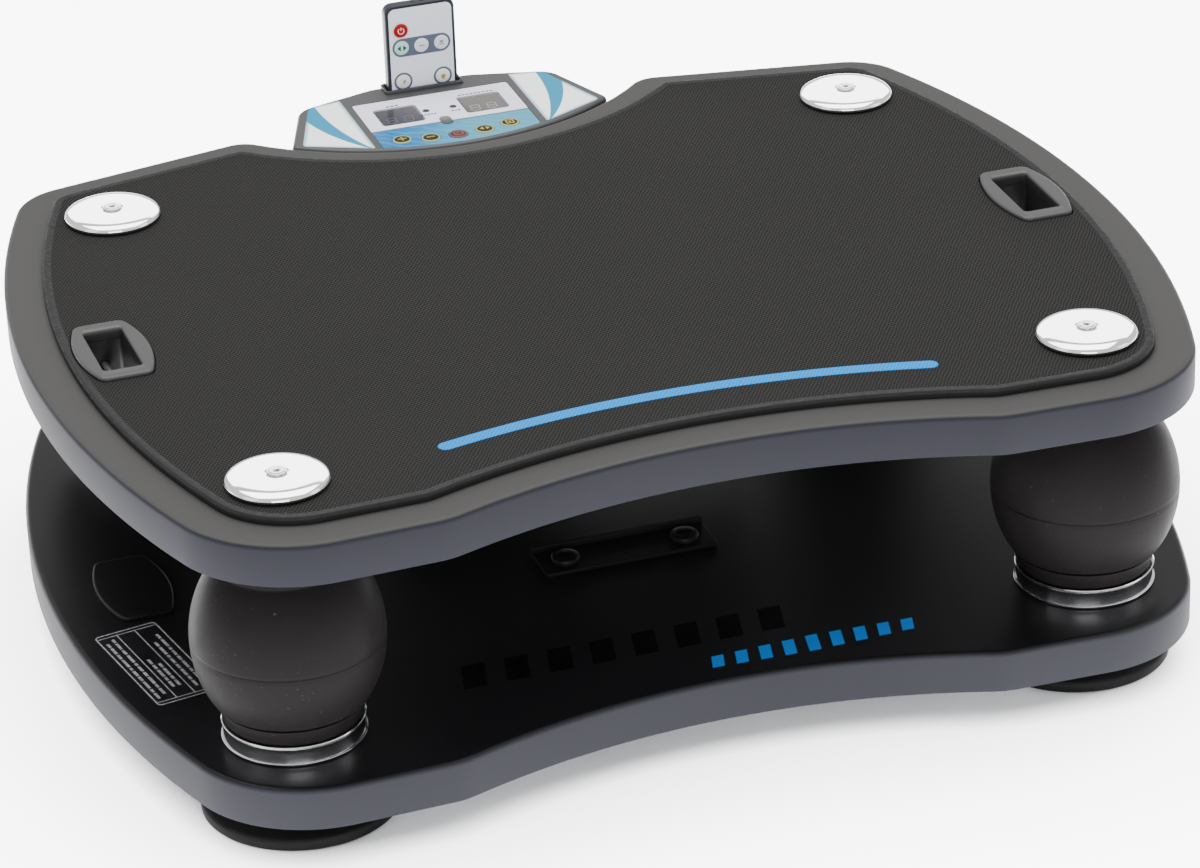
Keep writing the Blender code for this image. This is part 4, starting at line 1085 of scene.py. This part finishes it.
film = Finish("panel_film", specular=0.12)
x, y, z = film.axes()
swirl = film.noise(45, 3, 0.6)
edge = y + (x * 0.05).sine() * 0.4
blue = edge.ramp(230.6, 231.4, 1, 0)
deep = (x + swirl * 26 + (y * 0.35).sine() * 4).ramp(-22, 26, 1, 0)
streak = ((x * 0.55 + y * 0.9 + swirl * 16).sine()).ramp(0.55, 1.0)
sky = film.mix(deep, (0.055, 0.245, 0.360), (0.0, 0.130, 0.340))
sky = film.mix(streak * 0.3, sky, (0.14, 0.30, 0.42))
sky = film.mix(edge.ramp(228.8, 230.4), sky, (0.06, 0.10, 0.15))
pale = film.mix(film.noise(9), (0.62, 0.62, 0.71), (0.72, 0.72, 0.80))
film.set("Base Color", film.mix(blue, pale, sky))
film.wear(film.noise(60), 0.18, 0.28)
panel = prism("panel_film", panel_outline(), POD_TOP - 1.2, POD_TOP - 0.1)
cut(panel, through(POD_TOP - 8, POD_TOP + 2, 0.3))
part(panel, film, "base", "console_panel", slot="panel_white")

WING = np.array([(84.5, 227), (67.5, 277.2), (48.8, 280.4), (48.6, 209)])
SWOOSH_OUTER = ((63.8, 279), (61.6, 250), (50.6, 211))
SWOOSH_INNER = ((74, 262), (64.6, 232), (51.0, 210))
wing_film = Finish("wing_film", specular=0.12)
x, y, z = wing_film.axes()
side_x = abs(x)


def beyond(arc):
    """How far a place lies outside the circle through three points, in millimetres."""
    centre, radius = circle_through(*arc)
    place = wing_film.node("CombineXYZ", None, {0: side_x - centre[0], 1: y - centre[1]})
    return wing_film.node("VectorMath", {"operation": "LENGTH"}, {0: place}, 1) - radius


swoosh = beyond(SWOOSH_OUTER).ramp(-0.3, 0.3) * beyond(SWOOSH_INNER).ramp(-0.3, 0.3, 1, 0)
inward = None
for a, b in zip(WING, np.roll(WING, -1, 0)):
    normal = np.array([a[1] - b[1], b[0] - a[0]]) / np.hypot(*(b - a))
    reach = side_x * normal[0] + y * normal[1] - float(normal @ a)
    inward = reach if inward is None else inward.least(reach)
rim = inward.ramp(0.4, 2.6, 1, 0)
white = wing_film.mix(wing_film.noise(12), (0.82, 0.83, 0.85), (0.88, 0.89, 0.90))
white = wing_film.mix(rim * 0.8, white, (0.15, 0.32, 0.43))
wing_film.set("Base Color", wing_film.mix(swoosh, white, (0.006, 0.195, 0.340)))
wing_film.wear(wing_film.noise(60), 0.2, 0.3)
for hand, side in ((-1, "left"), (1, "right")):
    corners = [(hand * x, y, r) for (x, y), r in zip(WING, (3, 8, 1, 1))][::hand]
    wing = prism("wing_film_" + side, rounded(corners), POD_TOP - 0.3, POD_TOP + 0.08)
    part(wing, wing_film, "base")

window_smoke = Finish("window_smoke", specular=0.12)
x, y, z = window_smoke.axes()
haze = window_smoke.noise(30)
# Painted reflection: the smoke is painted darker at the front left and lighter towards the rear
# right.
slant = (x * 0.8 + y - WINDOW_Y).ramp(-30, 24)
painted_reflection = window_smoke.mix(slant, (0.020, 0.020, 0.032), (0.125, 0.118, 0.112))
window_smoke.set("Base Color", window_smoke.mix(haze * 0.4, painted_reflection, (0.070, 0.067, 0.067)))
window_smoke.wear(haze, 0.06, 0.12)
for hand, side in ((-1, "left"), (1, "right")):
    outline_at = lambda i: window_outline(-i, 1.4, hand)
    pane = rounded_prism("window_" + side, outline_at, POD_TOP - 6, POD_TOP - 0.35, 0.3)
    part(pane, window_smoke, "base", "display_module", slot="window_smoke")

caption_grey = mottled("caption_grey", (0.030, 0.032, 0.040), (0.060, 0.063, 0.072), 300)
frame_line = line_frame(WINDOW_HALF[0] + 0.9, WINDOW_HALF[1] + 0.9, 2.2, 0.55)
marks = [line + (hand * WINDOW_X, WINDOW_Y) for hand in (-1, 1) for line in frame_line]
marks += [bar(-24 + 2.6 * k, 262, 1.8, 1.5) for k in (-1, 0, 1)]
marks += [bar(24 + 2.3 * k, 262, 1.6, 1.4) for k in range(-4, 5)]
for x, n in zip(LAMP_X.values(), (2, 1)):
    marks += [bar(x + 1.9 * k, 243, 1.3, 1.4) for k in range(-n, n + 1)]
marks = prints("panel_captions", marks, POD_TOP - 0.1, POD_TOP - 0.05)
part(marks, caption_grey, "base")

digit_print = Finish("digit_print", roughness=0.3, specular=0.12)
x, y, z = digit_print.axes()
# Painted reflection: the digits are painted lighter towards the rear right, like the windows.
slant = (x + y - WINDOW_Y).ramp(-30, 24)
slant = digit_print.mix(slant, (0.075, 0.075, 0.092), (0.24, 0.225, 0.21))
digit_print.set("Base Color", slant)
DIGIT_Y = 242.8
marks = []
for x in (-29.5, -20, 18, 27.5):
    marks += [bar(x + k * 0.35, DIGIT_Y + 3.6 * k, 3.8, 0.9) for k in (-1, 0, 1)]
    for i, k in ((-1, -1), (-1, 1), (1, -1), (1, 1)):
        marks.append(bar(x + 2.4 * i + 0.18 * k, DIGIT_Y + 1.8 * k, 0.9, 2.6, 0.25))
marks = prints("display_digits", marks, POD_TOP - 0.35, POD_TOP - 0.31)
part(marks, digit_print, "base")

lamp_lens = mottled("lamp_lens", (0.020, 0.023, 0.030), (0.045, 0.050, 0.060), 200, 0.12)
lamp_rows = [(2.0, POD_TOP - 1)]
for a in np.linspace(0, 1.35, 8):
    lamp_rows.append((2.0 * math.cos(a), POD_TOP - 0.1 + 0.7 * math.sin(a)))
for side, x in LAMP_X.items():
    lamp = turned("lamp_" + side, lamp_rows, (x, 248.5 + MID_Y / MM), 32)
    part(lamp, lamp_lens, "base")

eye_lens = Finish("receiver_lens", roughness=0.15, specular=0.12)
x, y, z = eye_lens.axes()
# Painted reflection: the lens is painted lighter towards its rear.
painted_reflection_ramp = eye_lens.mix((y - EYE_Y).ramp(-5, 5), (0.050, 0.058, 0.058), (0.150, 0.155, 0.145))
eye_lens.set("Base Color", painted_reflection_ramp)
outline_at = lambda i: rounded_rect(3.3 - i, 5.4 - i, 3.0 - i, EYE_X, EYE_Y)
eye = rounded_prism("receiver_eye", outline_at, POD_TOP - 0.6, POD_TOP + 0.5, 0.6)
part(eye, eye_lens, "base")

# ---------------------------------------------------------------- Console keys
# Five round rubber keys on a shallow arc. Each has a pale yellow rim, a dark olive face and a
# yellow sign; the power key's face is brick red.

key_rim = mottled("key_rim", (0.27, 0.31, 0.12), (0.36, 0.40, 0.17), 200)
key_olive = mottled("key_olive", (0.008, 0.0075, 0.0035), (0.020, 0.018, 0.007), 150, 0.42, 3)
key_red = mottled("key_red", (0.055, 0.014, 0.014), (0.085, 0.024, 0.024), 150, 0.42, 3)
sign_yellow = mottled("sign_yellow", (0.30, 0.22, 0.03), (0.40, 0.30, 0.05), 200)
sign_pink = mottled("sign_pink", (0.14, 0.055, 0.055), (0.20, 0.085, 0.085), 200)


def power_sign(r, wide):
    """An open ring and a bar through its gap."""
    t = np.linspace(math.radians(125), math.radians(415), 30)
    edges = ((r, t), (r - wide, t[::-1]))
    ring = [np.column_stack([q * np.cos(a), q * np.sin(a)]) for q, a in edges]
    return [np.concatenate(ring), bar(0, r * 0.6, wide, r * 0.9)]


def arrows(r):
    """Two triangles that point left and right."""
    half = np.array([(r, 0), (r * 0.25, r * 0.62), (r * 0.25, -r * 0.62)])
    return [half, half * (-1, 1)]


program_sign = [bar(s * 1.9, 0, 0.8, 5.2) for s in (-1, 1)]
program_sign += [bar(0, s * 2.2, 3.0, 0.8) for s in (-1, 1)] + [bar(0, 0, 1.4, 1.4)]
SIGNS = {
    "plus": [bar(0, 0, 4.8, 0.9), bar(0, 1.4, 0.9, 1.9), bar(0, -1.4, 0.9, 1.9)],
    "minus": [bar(0, 0, 4.8, 0.9)],
    "power": power_sign(2.8, 0.7),
    "mode": arrows(2.9),
    "program": program_sign,
}
KEY_LOW, KEY_TOP = heights("console_key_plus")
KEY_COUNT, RIM_ROWS = 48, 6
key_rows = [(4.6, KEY_LOW), (KEY_R, KEY_LOW + 0.3), (KEY_R, KEY_TOP - 0.5)]
key_rows += [(KEY_R - 0.15, KEY_TOP - 0.2), (KEY_R - 0.5, KEY_TOP), (KEY_R - 0.8, KEY_TOP)]
key_rows += [(KEY_R - 0.95, KEY_TOP - 0.15), (KEY_R - 1.1, KEY_TOP - 0.05)]
key_rows += [(2.6, KEY_TOP + 0.1), (1, KEY_TOP + 0.12)]
for name, (x, y) in KEYS.items():
    node = "console_key_" + name
    cap, rim, ink, slot = key_olive, key_rim, sign_yellow, "key_olive"
    if name == "power":
        cap, rim, ink, slot = key_red, sign_pink, sign_pink, "key_red"
    key = turned("key_" + name, key_rows, (x, y + MID_Y / MM), KEY_COUNT)
    part(key, cap, node, node, slot=slot)
    key.data.materials.append(rim.material)
    index = np.zeros(len(key.data.polygons), np.int32)
    index[: RIM_ROWS * KEY_COUNT] = 1
    key.data.polygons.foreach_set("material_index", index)
    sign = [m + (x, y) for m in SIGNS[name]]
    part(prints("sign_" + name, sign, KEY_TOP, KEY_TOP + 0.2), ink, node)

# ---------------------------------------------------------------- Remote holder
# A moulded pocket at the console's rear edge, its lip a little proud of the cover.

HOLDER_LOW, HOLDER_TOP = heights("remote_holder")
REMOTE_LOW = heights("remote_case")[0]
holder_greys = (0.033, 0.033, 0.039), (0.045, 0.045, 0.051)
holder_grey = mottled("holder_grey", *holder_greys, 20, detail=3)
holder_grey.bump(holder_grey.noise(1400), 0.00005)
pocket = [(22.3, 7, 2, HOLDER_LOW), (22.3, 7, 2, HOLDER_TOP - 0.9)]
pocket += [(22.2, 6.8, 2, HOLDER_TOP - 0.3), (21.9, 6.3, 1.8, HOLDER_TOP)]
pocket += [(21.3, 5.1, 1.3, HOLDER_TOP), (21, 4.7, 1, HOLDER_TOP - 0.3)]
pocket += [(20.8, 4.5, 0.8, HOLDER_TOP - 1), (20.8, 4.5, 0.8, REMOTE_LOW - 0.3)]
rows = [level(rounded_rect(*shape, 0, REMOTE_Y), z) for *shape, z in pocket]
holder = surface("remote_pocket", rows)
part(holder, holder_grey, "base", "remote_holder", slot="black_plastic")

# ---------------------------------------------------------------- Card remote
# A thin card remote stands in the pocket: a dark slate case, a pale satin face plate, a red
# power key, three keys on a slate band and two keys lower down.

CARD_MID = middle_of("remote_case").z
CARD_HALF_W, CARD_HALF_H, CARD_THICK = 20, 43, 7
CARD_FACE = REMOTE_Y - CARD_THICK / 2
HALO_R = 5.3
slate = mottled("remote_slate", (0.018, 0.021, 0.027), (0.030, 0.033, 0.042), 30, 0.35, 3)
slate.bump(slate.noise(1400), 0.00004, 0.4)
face_satin = Finish("remote_face", specular=0.12)
x, y, z = face_satin.axes()
# Painted light: the face plate is painted lighter towards its top and its left.
slant = (z - x * 0.4 + face_satin.noise(20) * 10).ramp(150, 225)
slant = face_satin.mix(slant, (0.76, 0.79, 0.90), (0.84, 0.86, 0.92))
face_satin.set("Base Color", slant)
face_satin.wear(face_satin.noise(400), 0.28, 0.38)
band_slate = mottled("band_slate", (0.085, 0.110, 0.150), (0.120, 0.150, 0.195), 60, 0.35)

profile = [(1.4, 0), (0.5, 0.12), (0.1, 0.6), (0, 1.2), (0, 5.8), (0.1, 6.4), (0.5, 6.88)]
rows = []
for i, y in profile + [(1.4, CARD_THICK)]:
    card = rounded_rect(CARD_HALF_W - i, CARD_HALF_H - i, 5 - i / 2, 0, CARD_MID, 12)
    rows.append(upright(card, CARD_FACE + y))
part(surface("remote_shell", rows), slate, "remote", "remote_case", slot="remote_white")


def on_card(name, outlines, proud, deep=0.0):
    """Flat marks on the card's front: outlines in x and z, raised towards the user."""
    made = prints(name, outlines, -proud, -deep, (0, 0, 0))
    points = np.empty(len(made.data.vertices) * 3, np.float32)
    made.data.vertices.foreach_get("co", points)
    across, high, out = points.reshape(-1, 3).T
    points = np.column_stack([across, out + (CARD_FACE * MM + MID_Y), high])
    made.data.vertices.foreach_set("co", points.astype(np.float32).ravel())
    turn_out(made.data)
    return made


def card_spots(*names):
    """The places of remote keys on the card, in x and z."""
    places = (middle_of("remote_key_" + n) for n in names)
    return [np.array([place.x, place.z]) for place in places]


plate = [rounded_rect(18.1, 41.1, 3.6, 0, CARD_MID, 12)]
part(on_card("remote_face_plate", plate, 0.12), face_satin, "remote")
band_z = card_spots("left")[0][1]
band = [rounded_rect(11.4 + HALO_R, 5.4, HALO_R, 0, band_z, 12)]
part(on_card("remote_band", band, 0.2, 0.12), band_slate, "remote")
halos = [circle(HALO_R, *p) for p in card_spots("lower_left", "lower_right")]
part(on_card("remote_halos", halos, 0.2, 0.12), band_slate, "remote")
lenses = []
for x in (-3, 2):
    lens = rounded_rect(1.3, 1.1, 0.5, x, REMOTE_Y)
    lenses.append(prism("ir", lens, CARD_MID + CARD_HALF_H - 0.4, CARD_MID + CARD_HALF_H + 0.15))
part(cut(lenses[0], lenses[1:], "UNION"), socket_black, "remote")
lenses[0].name = "remote_ir_windows"

key_white = mottled("key_white", (0.68, 0.69, 0.71), (0.80, 0.81, 0.82), 120, 0.35)
remote_red = mottled("remote_red", (0.30, 0.004, 0.007), (0.40, 0.008, 0.012), 120, 0.3)
sign_green = mottled("sign_green", (0.001, 0.085, 0.040), (0.004, 0.13, 0.065), 200)
sign_grey = mottled("sign_grey", (0.20, 0.20, 0.22), (0.30, 0.30, 0.32), 200)
key_mint = mottled("key_mint", (0.44, 0.70, 0.60), (0.56, 0.76, 0.68), 120, 0.35)

halo = [circle(4.8, *card_spots("power")[0])]
part(on_card("remote_power_halo", halo, 0.2, 0.12), key_white, "remote")

REMOTE_SIGNS = {
    "power": (remote_red, key_white, power_sign(1.9, 0.45)),
    "left": (key_mint, sign_green, arrows(2.7)),
    "middle": (key_white, sign_grey, [bar(0, 0, 3.2, 0.6)]),
    "right": (key_white, sign_grey, [bar(0, 0.6, 1.8, 1.4), bar(0, -0.9, 2.6, 0.6)]),
    "lower_left": (key_white, sign_yellow, [bar(0, -0.2, 0.7, 2.4), bar(0.8, 0.3, 0.7, 1.4)]),
    "lower_right": (key_white, sign_yellow, [bar(0, 0, 2.2, 2.0), bar(0, -1.4, 1.4, 0.7)]),
}
card_key_rows = [(3.6, 1.7), (4.1, 1.5), (4.1, -0.25), (3.95, -0.5), (3.5, -0.68)]
card_key_rows += [(2.8, -0.8), (1.6, -0.88), (0.5, -0.9)]
for name, (cap, ink, sign) in REMOTE_SIGNS.items():
    at, node = card_spots(name)[0], "remote_key_" + name
    slot = "key_red" if name == "power" else "key_white"
    rows = [upright(circle(r, *at), CARD_FACE + y) for r, y in card_key_rows]
    part(surface("card_key_" + name, rows), cap, node, node, slot=slot)
    part(on_card("card_sign_" + name, [m + at for m in sign], 0.95, 0.78), ink, node)

# ---------------------------------------------------------------- Sheet metal and motor
# A zinc-plated cover closes the base. Under the deck a coated pan carries the saddle of an
# unbalance motor: a painted tube with cooling ribs, bearing plates, and a shaft with a half-disc
# weight at each end.

zinc = Finish("zinc_plate", metallic=1.0)
spangle = zinc.node("TexVoronoi", {"feature": "F1"}, {"Vector": zinc.spot, "Scale": 70}, 1)
plating = zinc.mix(zinc.noise(9, 3), (0.38, 0.39, 0.42), (0.50, 0.51, 0.53))
zinc.set("Base Color", plating)
crystal = zinc.node("SeparateXYZ", None, {0: spangle}, 0)
zinc.set("Roughness", crystal.ramp(0, 1, 0.30, 0.50))
dress(zinc, "base_bottom_cover")

coated = Finish("coated_steel", (0.012, 0.012, 0.013), specular=0.2)
coated.wear(coated.noise(120, 3), 0.5, 0.62)
coated.bump(coated.noise(800), 0.00006)
dress(coated, "deck_pan", "motor_saddle")

casting = Finish("painted_casting")
grit = casting.noise(260, 4, 0.6)
casting.set("Base Color", casting.mix(grit, (0.036, 0.037, 0.039), (0.068, 0.068, 0.070)))
casting.wear(grit, 0.42, 0.6)
casting.bump(grit, 0.0004)
for side in ("left", "right"):
    dress(casting, "bearing_plate_" + side, "eccentric_weight_" + side)
dress(casting, "motor_housing")
dress(steel, "rotor_shaft")

MOTOR = middle_of("motor_housing")
TUBE_R, RIB_DEPTH, RIB_PITCH, RIBBED_HALF, TUBE_COUNT = 37.6, 1.4, 7.0, 80, 96
along = np.linspace(-91, 91, 183)
groove = (0.5 + 0.5 * np.cos(along * 2 * math.pi / RIB_PITCH)) ** 2
ribs = TUBE_R - RIB_DEPTH * groove * (np.abs(along) < RIBBED_HALF)
profile = [(34.3, -91.6), (37.2, -92), *zip(ribs, along), (37.2, 92), (34.3, 91.6)]
profile += [(34.3, 36), (20, 36), (20, -36), (34.3, -36)]
rows = [
    np.column_stack([np.full(TUBE_COUNT, v), circle(r, count=TUBE_COUNT)]) for r, v in profile
]
tube = surface("motor_tube", rows, ring=True, move=tuple(MOTOR))
part(tube, casting, "deck", "motor_housing", slot="cast_iron")
